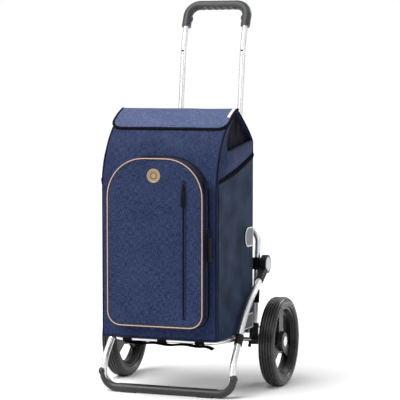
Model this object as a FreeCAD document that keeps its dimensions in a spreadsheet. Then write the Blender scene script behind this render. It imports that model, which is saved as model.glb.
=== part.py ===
"""Shopping trolley on wheels: folding tube frame, two wheels, shelf and lift-off bag.

Millimetres, +Z up, +X to the right seen from the front, +Y to the back.  Inside the
script y = 0 is the line of the axle; ORIGIN_Y moves everything so that the part's
origin lies under the middle of its box.
"""
import FreeCAD, Part, Sketcher
import math
import os

V = FreeCAD.Vector
doc = FreeCAD.newDocument("shopping_trolley")
sheet = doc.addObject("Spreadsheet::Sheet", "dims")

DRIVING = [
    # overall
    ("bag_width", 336, "bag, side to side"),
    ("wheel_dia", 250, "tyre outside diameter"),
    ("handle_height", 1090, "floor to the top of the grip"),
    ("lean", 7.43, "angle of the frame behind the vertical"),
    ("handle_span", 182, "between the handle tubes"),
    ("arch_span", "=bag_width - 22", "between the legs of the back arch"),
    ("arch_rise", 315, "axle to the top bar of the arch"),
    ("arch_set_back", 9, "arch behind the leaning plane"),
    ("arch_bend", 45, "corner radius of the arch"),
    # tubes
    ("arch_tube", 18, "outside diameter"),
    ("handle_tube", 16, "outside diameter"),
    ("leg_tube", 18, "outside diameter"),
    ("shelf_tube", 12, "outside diameter"),
    ("cross_tube", 14, "outside diameter of the lower crossbar"),
    ("tube_wall", 1.5, "wall of every tube"),
    ("tube_gap", 0.5, "between tubes that cross in a clamp"),
    ("axle_dia", 12, "axle shaft"),
    # grip
    ("grip_dia", 27, "thickness of the grip"),
    ("grip_corner", 35, "corner radius on the centre line"),
    ("grip_drop", 62, "bar centre to the lower end of the grip"),
    ("bend_drop", 121, "bar centre to the bend in the tubes"),
    ("upper_lean", 18, "angle of the tubes above the bend"),
    ("grip_lean", 24, "angle of the grip"),
    ("scallop_depth", 4, "finger hollows under the bar"),
    ("scallop_radius", 12, "finger hollows"),
    ("scallop_pitch", 20, "finger spacing"),
    ("socket_depth", 22, "tube inside the grip"),
    ("rivet_dia", 6, "rivets in the handle tubes"),
    # fittings
    ("clamp_width", 24, "clamps on the handle tubes"),
    ("clamp_height", 26, "clamps on the handle tubes"),
    ("clamp_wall", 3, "plastic around the tubes"),
    ("sleeve_wall", 4, "axle bracket around the arch foot"),
    ("sleeve_above", 46, "axle to the top of the bracket"),
    ("sleeve_below", 14, "axle to the bottom of the bracket"),
    ("boss_length", 13, "axle boss beside the bracket"),
    ("lug_length", 12, "rod under the bracket"),
    ("lug_ball", 10, "ball on the rod, diameter"),
    ("screw_head", 7, "bracket screws, diameter"),
    ("screw_rise", 2.5, "bracket screws, height of the head"),
    ("washer", 2, "between bracket and wheel, thickness"),
    # pivots of the leg frame
    ("pivot_height", 213, "axle to the fold pivot"),
    ("pivot_pin", 8, "pin diameter"),
    ("pivot_block", 34, "height of the clamp on the arch"),
    ("pivot_boss", 24, "boss of the clamp, diameter"),
    ("pivot_boss_length", 8, "boss of the clamp, out of the arch"),
    ("hub_dia", 52, "round hub on the fold pivot"),
    ("hub_width", 16, "hub thickness"),
    ("button_dia", 40, "fold button"),
    ("button_width", 4, "fold button thickness"),
    ("button_travel", 4.5, "fold button stroke"),
    ("run_gap", 0.5, "clearance between turning pieces"),
    ("pin_gap", 0.05, "radial running fit"),
    # leg frame
    ("leg_top_x", "=(arch_span + arch_tube + leg_tube) / 2 + 7", "leg tube at the hub"),
    ("leg_low_x", "=leg_top_x + 8", "leg tube at the foot"),
    ("foot_reach", 260, "axle to the foot bar, forwards"),
    ("foot_bend", 40, "corner radius of the foot"),
    ("knee_bend", 380, "long curve of the leg beside the bag"),
    ("shin_bend", 70, "curve of the leg above the foot"),
    ("foot_sleeve_wall", 3, "rubber round the foot"),
    ("foot_sleeve_rise", 50, "foot bar to the end of the rubber"),
    ("foot_bare", 4, "tube's middle line to the edge of the rubber in the corners"),
    ("pad_thick", 1, "floor pad under the rubber"),
    # shelf
    ("shelf_height", 27, "axle to the shelf"),
    ("shelf_reach", 268, "axle to the front of the shelf"),
    ("shelf_half", "=leg_low_x - leg_tube / 2 - shelf_tube / 2 - 6", "half the widest part"),
    ("shelf_rear_half", "=arch_span / 2 - 23", "half the width at the clips"),
    ("shelf_front_half", "=bag_width / 2 - 26", "half the straight front"),
    ("cross_reach", 198, "axle to where the leg passes the shelf"),
    ("strap_thick", 2.2, "webbing"),
    ("strap_width", 26, "webbing"),
    ("strap_tail", 40, "webbing under the bag"),
    ("loop_width", 38, "webbing round the arch"),
    ("clip_wall", 3.5, "shelf clip round the crossbar"),
    ("clip_width", 14, "shelf clip along the crossbar"),
    # bag
    ("bag_front", 320, "axle to the front panel"),
    ("bag_back", 31, "axle to the back panel, forwards"),
    ("bag_gap", 0.8, "above the straps of the shelf"),
    ("roof_height", 397, "base to the start of the round front top"),
    ("roof_radius", 232, "round front top"),
    ("ridge_reach", 158, "axle to the ridge, forwards"),
    ("eaves_height", 527, "base to the top of the upright back"),
    ("collar_height", 540, "base to the dark collar"),
    ("panel", 3, "fabric and lining"),
    ("mouth_front", 228, "front of the mouth, from the axle"),
    ("mouth_back", 166, "back of the mouth, from the axle"),
    ("lid_thick", 4, "lid flap"),
    ("lid_reach", 246, "axle to the front edge of the lid"),
    # pocket
    ("pocket_width", "=bag_width - 56", "front pocket"),
    ("pocket_bottom", 38, "base to the pocket"),
    ("pocket_height", 457, "front pocket"),
    ("pocket_depth", 44, "front pocket, out of the front panel"),
    ("pocket_top_radius", 110, "upper corners"),
    ("pocket_low_radius", 34, "lower corners"),
    ("piping_dia", 4, "piping round the pocket"),
    ("badge_dia", 38, "plain round badge"),
    ("zip_width", 9, "zip tape"),
    ("zip_thick", 1.4, "zip tape"),
    ("zip_x", 90, "upright zip on the pocket, from the middle"),
    ("side_panel", 2.5, "side pocket on the bag's side"),
    ("band_width", 15, "elastic band over the side pocket"),
    ("reflector_thick", 1, "strips on the side pocket"),
    ("hook_width", 24, "hooks over the arch"),
    ("hook_apart", 100, "between the hooks"),
    ("hook_plate", 3, "plate of a hook on the bag"),
    ("hook_bar", 4, "thickness of a hook"),
    # wheels
    ("track", "=2 * leg_low_x + 92", "between the wheel centres"),
    ("tyre_width", 45, "tread"),
    ("rim_dia", "=wheel_dia - 50", "tyre seat on the rim"),
    ("rim_width", 34, "rim"),
    ("spoke_width", 34, "three spokes"),
    ("wheel_hub_dia", 50, "rim hub"),
    ("bearing_dia", 20, "bush in the hub"),
    ("cap_dia", 28, "release button in the hub"),
    ("cap_travel", 3, "release button stroke"),
    ("cap_seat", 7, "recess of the button in the hub"),
    ("bush_length", 8, "bushes in the hub"),
    ("groove", 3, "three tread grooves, width"),
    ("groove_depth", 2.5, "tread grooves"),
    ("groove_pitch", 8, "between the tread grooves"),
]
for row, (alias, number, note) in enumerate(DRIVING, start=1):
    sheet.set("A%d" % row, alias)
    sheet.set("B%d" % row, str(number))
    sheet.setAlias("B%d" % row, alias)
    sheet.set("C%d" % row, note)
doc.recompute()

# ---------------------------------------------------------------- derived places
AXLE_Z = "dims.wheel_dia / 2"
BAR_Z = "(dims.handle_height - dims.grip_dia / 2)"
SHELF_Z = "(dims.wheel_dia / 2 + dims.shelf_height)"
PIVOT_Z = "(dims.wheel_dia / 2 + dims.pivot_height)"
FOOT_Z = "(dims.pad_thick + dims.leg_tube / 2 + dims.foot_sleeve_wall)"
BASE_Z = "(%s + dims.shelf_tube / 2 + dims.strap_thick + dims.bag_gap)" % SHELF_Z
TUBE_STEP = "((dims.arch_tube + dims.handle_tube) / 2 + dims.tube_gap) / cos(dims.lean)"
HANDLE_OFFSET = "(dims.arch_set_back - %s)" % TUBE_STEP
POCKET_FACE = "(dims.bag_front + dims.pocket_depth)"


def val(expression):
    """Number that an expression over the sheet gives."""
    return float(sheet.evalExpression(expression.replace("dims.", "")))


def leaning(height, offset):
    """y of the frame's leaning plane at a height, set back by an offset."""
    return "((%s - %s) * tan(dims.lean) + %s)" % (height, AXLE_Z, offset)


def arch_y(height):
    return leaning(height, "dims.arch_set_back")


def handle_y(height):
    return leaning(height, HANDLE_OFFSET)


BEND_Z = "(%s - dims.bend_drop)" % BAR_Z
ENTRY_Z = "(%s - dims.grip_drop)" % BAR_Z
BEND_Y = handle_y(BEND_Z)
ENTRY_Y = "(%s + (dims.bend_drop - dims.grip_drop) * tan(dims.upper_lean))" % BEND_Y
BAR_Y = "(%s + dims.grip_drop * tan(dims.grip_lean))" % ENTRY_Y
PIVOT_Y = arch_y(PIVOT_Z)
SHELF_Y = arch_y(SHELF_Z)
ARCH_TOP_Z = "(%s + dims.arch_rise)" % AXLE_Z
ARCH_FOOT_Z = "(%s + dims.axle_dia / 2 + 2)" % AXLE_Z
FRONT_MOST = "(%s + dims.zip_thick + 5.5)" % POCKET_FACE
BACK_MOST = "(%s + dims.grip_dia / 2)" % BAR_Y
ORIGIN_Y = val("(%s - %s) / 2" % (FRONT_MOST, BACK_MOST))

NODES = []


# ---------------------------------------------------------------- building helpers
def node(piece, name):
    """Make an object a sub-part: its label names its file."""
    piece.Label = name
    NODES.append(piece)
    return piece


def place(piece, x, y, z, turn=None):
    """Put an object at a point given by three expressions."""
    piece.Placement = FreeCAD.Placement(V(0, 0, 0), turn or FreeCAD.Rotation())
    piece.setExpression("Placement.Base.x", x)
    piece.setExpression("Placement.Base.y", "%s + %f" % (y, ORIGIN_Y))
    piece.setExpression("Placement.Base.z", z)
    return piece


ALONG_X = FreeCAD.Rotation(V(0, 1, 0), 90)
ALONG_Y = FreeCAD.Rotation(V(1, 0, 0), -90)
LEANING = FreeCAD.Rotation(V(1, 0, 0), -val("dims.lean"))


def box(name, corner, size):
    piece = doc.addObject("Part::Box", name)
    for side, expression in zip(("Length", "Width", "Height"), size):
        piece.setExpression(side, expression)
    return place(piece, *corner)


def cylinder(name, point, radius, height, turn=None):
    piece = doc.addObject("Part::Cylinder", name)
    piece.setExpression("Radius", radius)
    piece.setExpression("Height", height)
    return place(piece, *point, turn)


def cylinder_between(name, start, end, radius):
    """Round bar between two points of numbers in the script's own y."""
    start, end = V(*start), V(*end)
    turn = FreeCAD.Rotation(V(0, 0, 1), end - start)
    piece = doc.addObject("Part::Cylinder", name)
    piece.setExpression("Radius", radius)
    piece.Height = (end - start).Length
    piece.Placement = FreeCAD.Placement(start + V(0, ORIGIN_Y, 0), turn)
    return piece


def fuse(name, pieces):
    piece = doc.addObject("Part::MultiFuse", name)
    piece.Shapes = pieces
    return piece


def cut(name, base, *tools):
    tool = tools[0] if len(tools) == 1 else fuse(name + "_tools", list(tools))
    piece = doc.addObject("Part::Cut", name)
    piece.Base = base
    piece.Tool = tool
    return piece


def common(name, base, tool):
    piece = doc.addObject("Part::Common", name)
    piece.Base = base
    piece.Tool = tool
    return piece


def group(name, pieces):
    """Several separate solids in one sub-part."""
    piece = doc.addObject("Part::Compound", name)
    piece.Links = pieces
    return piece


def rounded_wire(points, radii):
    """Straight runs joined by tangent arcs; one radius for each inner point."""
    points = [V(*point) + V(0, ORIGIN_Y, 0) for point in points]
    edges = []
    last = points[0]
    for index, radius in enumerate(radii, start=1):
        corner = points[index]
        back = (points[index - 1] - corner).normalize()
        ahead = (points[index + 1] - corner).normalize()
        half = back.getAngle(ahead) / 2
        reach = radius / math.tan(half)
        middle = corner + (back + ahead).normalize() * (radius / math.sin(half) - radius)
        first, second = corner + back * reach, corner + ahead * reach
        edges.append(Part.LineSegment(last, first).toShape())
        edges.append(Part.Arc(first, middle, second).toShape())
        last = second
    edges.append(Part.LineSegment(last, points[-1]).toShape())
    return Part.Wire(edges)


def swept(name, wire, radius):
    """Solid round bar along a wire."""
    spine = doc.addObject("Part::Feature", name + "_spine")
    spine.Shape = wire
    circle = doc.addObject("Part::Circle", name + "_section")
    circle.setExpression("Radius", radius)
    start = wire.OrderedVertexes[0].Point
    heading = wire.OrderedEdges[0].tangentAt(wire.OrderedEdges[0].FirstParameter)
    circle.Placement = FreeCAD.Placement(start, FreeCAD.Rotation(V(0, 0, 1), heading))
    bar = doc.addObject("Part::Sweep", name)
    bar.Sections = [circle]
    bar.Spine = (spine, ["Edge%d" % number for number in range(1, len(wire.Edges) + 1)])
    bar.Solid = True
    return bar


def bent_tube(name, wire, diameter):
    """Hollow tube along a wire, with the wall of every tube."""
    outside = swept(name + "_outside", wire, "%s / 2" % diameter)
    inside = swept(name + "_inside", wire, "%s / 2 - dims.tube_wall" % diameter)
    return cut(name, outside, inside)


def points_of(rows):
    return [tuple(val(item) for item in row) for row in rows]


def sketch_in(body, name, role):
    """Sketch on one of the body's own origin planes."""
    plane = [item for item in body.Origin.OriginFeatures if item.Role == role][0]
    sketch = body.newObject("Sketcher::SketchObject", name)
    sketch.AttachmentSupport = (plane, "")
    sketch.MapMode = "FlatFace"
    return sketch


def outline(sketch, corners):
    """Closed outline: each corner is two expressions, held by two constraints.

    A corner with a third entry starts an arc of that bulge (sagitta) to the next one.
    """
    spots = [V(val(corner[0]), val(corner[1]), 0) for corner in corners]
    for index, corner in enumerate(corners):
        here, after = spots[index], spots[(index + 1) % len(spots)]
        if len(corner) == 2:
            sketch.addGeometry(Part.LineSegment(here, after), False)
        else:
            across = V(after.y - here.y, here.x - after.x, 0).normalize()
            middle = (here + after) / 2 + across * val(corner[2])
            arc = Part.Arc(here, middle, after)
            sketch.addGeometry(arc, False)
    for index, corner in enumerate(corners):
        if len(corner) == 2:
            start = (index, 1)
        else:
            begin = sketch.getPoint(index, 1)
            start = (index, 1 if begin.distanceToPoint(spots[index]) < 1e-6 else 2)
        for kind, expression in (("DistanceX", corner[0]), ("DistanceY", corner[1])):
            number = val(expression)
            order = (-1, 1, *start)
            made = sketch.addConstraint(Sketcher.Constraint(kind, *order, number))
            sketch.setExpression("Constraints[%d]" % made, expression)
    for index in range(len(corners)):
        after = (index + 1) % len(corners)
        ends = [sketch.getPoint(index, side) for side in (1, 2)]
        starts = [sketch.getPoint(after, side) for side in (1, 2)]
        pairs = [(one, two) for one in (0, 1) for two in (0, 1)]
        pairs = [pair for pair in pairs
                 if ends[pair[0]].distanceToPoint(spots[after]) < 1e-6
                 and starts[pair[1]].distanceToPoint(spots[after]) < 1e-6]
        one, two = pairs[0]
        sketch.addConstraint(Sketcher.Constraint("Coincident", index, one + 1, after, two + 1))
    return sketch


def padded_body(name, role, corners, length, midplane=True):
    """PartDesign body: one outline padded across one of the origin planes."""
    body = doc.addObject("PartDesign::Body", name)
    sketch = outline(sketch_in(body, name + "_outline", role), corners)
    pad = body.newObject("PartDesign::Pad", name + "_pad")
    pad.Profile = sketch
    pad.setExpression("Length", length)
    pad.Midplane = midplane
    body.Tip = pad
    return body


def turned_body(name, corners):
    """PartDesign body: one outline (x, radius) turned round the X axis."""
    body = doc.addObject("PartDesign::Body", name)
    sketch = outline(sketch_in(body, name + "_outline", "XY_Plane"), corners)
    turn = body.newObject("PartDesign::Revolution", name + "_turn")
    turn.Profile = sketch
    turn.ReferenceAxis = (sketch, ["H_Axis"])
    turn.Angle = 360
    body.Tip = turn
    return body


SIDES = (("left", -1), ("right", 1))


# ---------------------------------------------------------------- frame
def arch_wire():
    rows = []
    for side, height in ((-1, ARCH_FOOT_Z), (-1, ARCH_TOP_Z), (1, ARCH_TOP_Z), (1, ARCH_FOOT_Z)):
        rows.append(("%d * dims.arch_span / 2" % side, arch_y(height), height))
    return rounded_wire(points_of(rows), [val("dims.arch_bend")] * 2)


def make_arch():
    node(bent_tube("back_arch", arch_wire(), "dims.arch_tube"), "back_arch")


def handle_points(side):
    x = "%d * dims.handle_span / 2" % side
    tip_y = "(%s + dims.socket_depth * sin(dims.grip_lean))" % ENTRY_Y
    tip_z = "(%s + dims.socket_depth * cos(dims.grip_lean))" % ENTRY_Z
    foot_z = "(%s - dims.clamp_height / 2)" % SHELF_Z
    rows = [(x, handle_y(foot_z), foot_z), (x, BEND_Y, BEND_Z), (x, ENTRY_Y, ENTRY_Z)]
    return points_of(rows + [(x, tip_y, tip_z)])


def make_handle(name, side):
    wire = rounded_wire(handle_points(side), [60, 60])
    tube = bent_tube("handle_" + name + "_tube", wire, "dims.handle_tube")
    hole = rivet("rivet_hole_" + name, side)
    node(cut("handle_tube_" + name, tube, hole), "handle_tube_" + name)


def rivet(name, side):
    """Pin through a handle tube, front to back, just under the bend."""
    height = "(%s - 11)" % BEND_Z
    point = ("%d * dims.handle_span / 2" % side,
             "%s - dims.handle_tube / 2 - 1.5" % handle_y(height), height)
    return cylinder(name, point, "dims.rivet_dia / 2", "dims.handle_tube + 3", ALONG_Y)


def make_grip():
    """Moulded loop over both tube ends, with five finger hollows under the bar."""
    rows = []
    for side, y, z in ((-1, ENTRY_Y, ENTRY_Z), (-1, BAR_Y, BAR_Z), (1, BAR_Y, BAR_Z),
                       (1, ENTRY_Y, ENTRY_Z)):
        rows.append(("%d * dims.handle_span / 2" % side, y, z))
    wire = rounded_wire(points_of(rows), [val("dims.grip_corner")] * 2)
    bar = swept("grip_bar", wire, "dims.grip_dia / 2")
    tools = []
    for name, side in SIDES:
        start, end = handle_points(side)[2:]
        tools.append(cylinder_between("grip_socket_" + name, start, end, "dims.handle_tube / 2"))
    lean = math.radians(val("dims.grip_lean"))
    drop = val("dims.grip_dia / 2 - dims.scallop_depth + dims.scallop_radius")
    reach = val("dims.grip_dia")
    for finger in range(-2, 3):
        middle = V(finger * val("dims.scallop_pitch"), val(BAR_Y) - drop * math.sin(lean),
                   val(BAR_Z) - drop * math.cos(lean))
        across = V(0, math.cos(lean), -math.sin(lean)) * reach
        tools.append(cylinder_between("finger_%d" % (finger + 3), middle - across,
                                      middle + across, "dims.scallop_radius"))
    node(cut("handle_grip", bar, *tools), "handle_grip")


def clamp(name, side, height):
    """Block round a handle tube and the bar that crosses behind it."""
    tall = "dims.clamp_height"
    deep = "(%s + (dims.arch_tube + dims.handle_tube) / 2 + 2 * dims.clamp_wall)" % TUBE_STEP
    block = doc.addObject("Part::Box", name + "_block")
    for side_name, expression in zip(("Length", "Width", "Height"),
                                     ("dims.clamp_width", deep, tall)):
        block.setExpression(side_name, expression)
    middle = V(side * val("dims.handle_span / 2"),
               val("(%s + %s - (dims.arch_tube - dims.handle_tube) / 2) / 2"
                   % (arch_y(height), handle_y(height))) + ORIGIN_Y, val(height))
    half = V(val("dims.clamp_width"), val(deep), val(tall)) * 0.5
    block.Placement = FreeCAD.Placement(middle - LEANING.multVec(half), LEANING)
    return block


def make_clamps():
    for level, height, radius in (("upper", ARCH_TOP_Z, "dims.arch_tube / 2"),
                                  ("lower", SHELF_Z, "dims.cross_tube / 2")):
        blocks = []
        for name, side in SIDES:
            label = "%s_clamp_%s" % (level, name)
            block = clamp(label, side, height)
            x = "%d * dims.handle_span / 2" % side
            bar = cylinder(label + "_bar", ("%s - 40" % x, arch_y(height), height),
                           radius, "80", ALONG_X)
            low = "(%s - 40)" % height
            tube = cylinder(label + "_tube", (x, handle_y(low), low),
                            "dims.handle_tube / 2", "80", LEANING)
            blocks.append(cut(label, block, bar, tube))
        node(group(level + "_clamps", blocks), level + "_clamps")


CROSS_HALF = "(dims.arch_span / 2 - dims.arch_tube / 2 - dims.tube_gap)"


def make_crossbar():
    at = ("-1 * %s" % CROSS_HALF, SHELF_Y, SHELF_Z)
    length = "2 * %s" % CROSS_HALF
    outside = cylinder("crossbar_outside", at, "dims.cross_tube / 2", length, ALONG_X)
    inside = cylinder("crossbar_inside", at, "dims.cross_tube / 2 - dims.tube_wall",
                      length, ALONG_X)
    node(cut("lower_crossbar", outside, inside), "lower_crossbar")


def outward(side, start, length):
    """Left end of a bar along X that starts at a distance from the middle."""
    return "%s" % start if side > 0 else "-1 * (%s + %s)" % (start, length)


def make_axle_bracket(name, side):
    label = "axle_bracket_" + name
    low = "(%s - dims.sleeve_below)" % AXLE_Z
    x = "%d * dims.arch_span / 2" % side
    radius = "(dims.arch_tube / 2 + dims.sleeve_wall)"
    tall = "((dims.sleeve_above + dims.sleeve_below) / cos(dims.lean))"
    sleeve = cylinder(label + "_sleeve", (x, arch_y(low), low), radius, tall, LEANING)
    length = "(%s + dims.boss_length)" % radius
    boss = cylinder(label + "_boss", (outward(side, "dims.arch_span / 2", length), "0", AXLE_Z),
                    "dims.axle_dia / 2 + dims.sleeve_wall + 2", length, ALONG_X)
    seat = cylinder(label + "_seat", (x, arch_y(ARCH_FOOT_Z), ARCH_FOOT_Z),
                    "dims.arch_tube / 2", "100", LEANING)
    bore = cylinder(label + "_bore", (outward(side, "100", "150"), "0", AXLE_Z),
                    "dims.axle_dia / 2", "150", ALONG_X)
    cross = cylinder(label + "_cross", (outward(side, "0", CROSS_HALF), SHELF_Y, SHELF_Z),
                     "dims.cross_tube / 2", CROSS_HALF, ALONG_X)
    lug_end = ("%d * (dims.arch_span / 2 - 7)" % side, "-1 * dims.axle_dia / 2",
               "%s - 4 - dims.lug_length" % AXLE_Z)
    lug = cylinder(label + "_lug", lug_end, "dims.lug_ball / 2 - 2", "dims.lug_length")
    ball = doc.addObject("Part::Sphere", label + "_ball")
    ball.setExpression("Radius", "dims.lug_ball / 2")
    place(ball, *lug_end)
    body = fuse(label + "_body", [sleeve, boss, lug, ball])
    node(cut(label, body, seat, bore, cross), label)


AXLE_HALF = "(dims.track / 2 + dims.rim_width / 2 - 9)"


def make_axle():
    at = ("-1 * %s" % AXLE_HALF, "0", AXLE_Z)
    shaft = cylinder("axle", at, "dims.axle_dia / 2", "2 * %s" % AXLE_HALF, ALONG_X)
    node(shaft, "axle_shaft")
    rings = []
    for name, side in SIDES:
        start = "(dims.track / 2 - dims.rim_width / 2 - dims.run_gap - dims.washer)"
        spot = (outward(side, start, "dims.washer"), "0", AXLE_Z)
        disc = cylinder("washer_disc_" + name, spot, "dims.axle_dia", "dims.washer", ALONG_X)
        hole = cylinder("washer_hole_" + name, spot, "dims.axle_dia / 2", "dims.washer", ALONG_X)
        rings.append(cut("washer_" + name, disc, hole))
    node(group("axle_washers", rings), "axle_washers")


HUB_X = "((dims.arch_span + dims.arch_tube) / 2 + dims.pivot_boss_length + dims.run_gap)"


def make_pivot_clamp(name, side):
    """Block round the arch with a round boss; gives the pivot pin that it carries."""
    label = "pivot_clamp_" + name
    sizes = ("dims.arch_tube + 5", "dims.arch_tube + 8", "dims.pivot_block")
    block = doc.addObject("Part::Box", label + "_block")
    for side_name, expression in zip(("Length", "Width", "Height"), sizes):
        block.setExpression(side_name, expression)
    half = V(*[val(size) for size in sizes]) * 0.5
    middle = V(side * val("dims.arch_span / 2"), val(PIVOT_Y) + ORIGIN_Y, val(PIVOT_Z))
    block.Placement = FreeCAD.Placement(middle - LEANING.multVec(half), LEANING)
    start = "dims.arch_span / 2"
    length = "(%s - dims.run_gap - %s)" % (HUB_X, start)
    boss = cylinder(label + "_boss", (outward(side, start, length), PIVOT_Y, PIVOT_Z),
                    "dims.pivot_boss / 2", length, ALONG_X)
    low = "(%s - 60)" % PIVOT_Z
    tube = cylinder(label + "_tube", ("%d * dims.arch_span / 2" % side, arch_y(low), low),
                    "dims.arch_tube / 2", "120", LEANING)
    pin_start = "(dims.arch_span / 2 + dims.arch_tube / 2 + 1)"
    pin_length = "(%s + dims.hub_width - dims.button_width - dims.button_travel - %s)" % (
        HUB_X, pin_start)
    at = (outward(side, pin_start, pin_length), PIVOT_Y, PIVOT_Z)
    hole = cylinder(label + "_hole", at, "dims.pivot_pin / 2", pin_length, ALONG_X)
    node(cut(label, fuse(label + "_body", [block, boss]), tube, hole), label)
    return cylinder("pivot_pin_" + name, at, "dims.pivot_pin / 2", pin_length, ALONG_X)


def make_arch_straps():
    """Webbing loop round each leg of the arch, with a tail towards the bag."""
    loops = []
    low = "(%s - 110)" % PIVOT_Z
    for name, side in SIDES:
        x = "%d * dims.arch_span / 2" % side
        outside = cylinder("strap_out_" + name, (x, arch_y(low), low),
                           "dims.arch_tube / 2 + dims.strap_thick", "dims.loop_width", LEANING)
        tail_x = outward(side, "dims.arch_span / 2", "dims.strap_thick")
        tail = box("strap_tail_" + name, (tail_x, "-1 * dims.bag_back + 1", "%s + 3" % low),
                   ("dims.strap_thick", "dims.bag_back + %s - 10" % arch_y(low), "dims.loop_width - 6"))
        inside = cylinder("strap_in_" + name, (x, arch_y("(%s - 30)" % low), "%s - 30" % low),
                          "dims.arch_tube / 2", "110", LEANING)
        loops.append(cut("arch_strap_" + name, fuse("strap_body_" + name, [outside, tail]), inside))
    node(group("arch_straps", loops), "arch_straps")


def make_screws():
    """Two screws in each axle bracket, seen from the outside."""
    heads = []
    for name, side in SIDES:
        for number, above in enumerate((12, 36), start=1):
            height = "(%s + %d)" % (AXLE_Z, above)
            start = "(dims.arch_span / 2 + dims.arch_tube / 2 + dims.sleeve_wall)"
            at = (outward(side, start, "dims.screw_rise"), arch_y(height), height)
            head = cylinder("screw_%s_%d" % (name, number), at, "dims.screw_head / 2",
                            "dims.screw_rise", ALONG_X)
            heads.append(head)
    node(group("bracket_screws", heads), "bracket_screws")


# ---------------------------------------------------------------- leg frame
KNEE_DROP = 104
KNEE_Y = -127
SHIN_Z = 88
SHIN_Y = -254.5
SOCKET_DROP = 20
SOCKET_FORWARD = 17


def leg_points(side):
    """Centre line of one side, from the hub down to the corner of the foot."""
    rows = [
        ("%d * dims.leg_top_x" % side, "%s - %g" % (PIVOT_Y, SOCKET_FORWARD),
         "%s - %g" % (PIVOT_Z, SOCKET_DROP)),
        ("%d * (dims.leg_top_x + 2)" % side, "%g * dims.foot_reach / 260" % KNEE_Y,
         "%s - %g" % (PIVOT_Z, KNEE_DROP)),
        ("%d * (dims.leg_low_x - 1)" % side, "%g + 260 - dims.foot_reach" % SHIN_Y,
         "%g" % SHIN_Z),
        ("%d * dims.leg_low_x" % side, "-1 * dims.foot_reach", FOOT_Z),
    ]
    return points_of(rows)


def leg_wire():
    right, left = leg_points(1), leg_points(-1)
    bends = [val("dims." + name) for name in ("knee_bend", "shin_bend", "foot_bend")]
    return rounded_wire(left + right[::-1], bends + bends[::-1])


def foot_wire():
    """Foot bar with the two corners, up to where the rubber ends."""
    rise = val("%s + dims.foot_sleeve_rise" % FOOT_Z)
    ends = []
    for side in (-1, 1):
        shin, corner = leg_points(side)[2:]
        share = (rise - corner[2]) / (shin[2] - corner[2])
        top = tuple(low + (high - low) * share for low, high in zip(corner, shin))
        ends.append((top, corner))
    points = [ends[0][0], ends[0][1], ends[1][1], ends[1][0]]
    return rounded_wire(points, [val("dims.foot_bend")] * 2)


def make_leg_tube():
    node(bent_tube("leg_tube", leg_wire(), "dims.leg_tube"), "leg_tube")


def leg_direction(side, start, end):
    points = leg_points(side)
    return (V(*points[end]) - V(*points[start])).normalize()


def make_leg_hub(name, side):
    """Round hub with the socket for the leg tube and the recess for the button."""
    label = "leg_hub_" + name
    disc = cylinder(label + "_disc", (outward(side, HUB_X, "dims.hub_width"), PIVOT_Y, PIVOT_Z),
                    "dims.hub_dia / 2", "dims.hub_width", ALONG_X)
    top = V(*leg_points(side)[0])
    along = leg_direction(side, 0, 1)
    socket = cylinder_between(label + "_socket", top - along * 4, top + along * 42,
                              "dims.leg_tube / 2 + 3")
    seat = cylinder_between(label + "_seat", top, top + along * 80, "dims.leg_tube / 2")
    deep = "(dims.button_width + dims.button_travel)"
    at = (outward(side, "(%s + dims.hub_width - %s)" % (HUB_X, deep), "%s" % deep),
          PIVOT_Y, PIVOT_Z)
    recess = cylinder(label + "_recess", at, "dims.button_dia / 2 + dims.pin_gap", deep, ALONG_X)
    hole = cylinder(label + "_hole", (outward(side, HUB_X, "dims.hub_width"), PIVOT_Y, PIVOT_Z),
                    "dims.pivot_pin / 2 + dims.pin_gap", "dims.hub_width", ALONG_X)
    node(cut(label, fuse(label + "_body", [disc, socket]), seat, recess, hole), label)


def make_fold_button(name, side):
    start = "(%s + dims.hub_width - dims.button_width + 1)" % HUB_X
    at = (outward(side, start, "dims.button_width"), PIVOT_Y, PIVOT_Z)
    button = cylinder("button_" + name, at, "dims.button_dia / 2", "dims.button_width", ALONG_X)
    node(button, "fold_button_" + name)


def make_leg_collar(name, side):
    """Collar on the leg at the height of the shelf."""
    label = "leg_collar_" + name
    knee, shin = [V(*point) for point in leg_points(side)[1:3]]
    along = (shin - knee).normalize()
    share = (knee.z - val(SHELF_Z)) / (knee.z - shin.z)
    middle = knee + (shin - knee) * share
    half = along * 15
    ring = cylinder_between(label + "_ring", middle - half, middle + half,
                            "dims.leg_tube / 2 + 2.5")
    bore = cylinder_between(label + "_bore", middle - half * 2, middle + half * 2,
                            "dims.leg_tube / 2")
    return cut(label, ring, bore)


def foot_opening(name, side):
    """Two tools that bare the inner side of the tube in a corner of the foot."""
    middle = "(dims.leg_low_x - dims.foot_bend + 2)"
    radius = "(dims.foot_bend - dims.foot_bare - 2)"
    y, z = "-1 * dims.foot_reach - 50", FOOT_Z + " + dims.foot_bend + 4"
    corner = cylinder("foot_corner_" + name, ("%d * %s" % (side, middle), y, z),
                      radius, "100", ALONG_Y)
    wide = "(%s - 0.5)" % radius
    above = box("foot_above_" + name, (outward(side, middle, wide), y, z),
                (wide, "100", "dims.foot_sleeve_rise"))
    return [corner, above]


def make_foot_sleeve():
    """Rubber round the foot bar, open towards the middle in the two corners."""
    outside = swept("foot_rubber", foot_wire(), "dims.leg_tube / 2 + dims.foot_sleeve_wall")
    inside = swept("foot_core", foot_wire(), "dims.leg_tube / 2")
    openings = [tool for name, side in SIDES for tool in foot_opening(name, side)]
    node(cut("foot_sleeve", outside, inside, *openings), "foot_sleeve")


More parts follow.
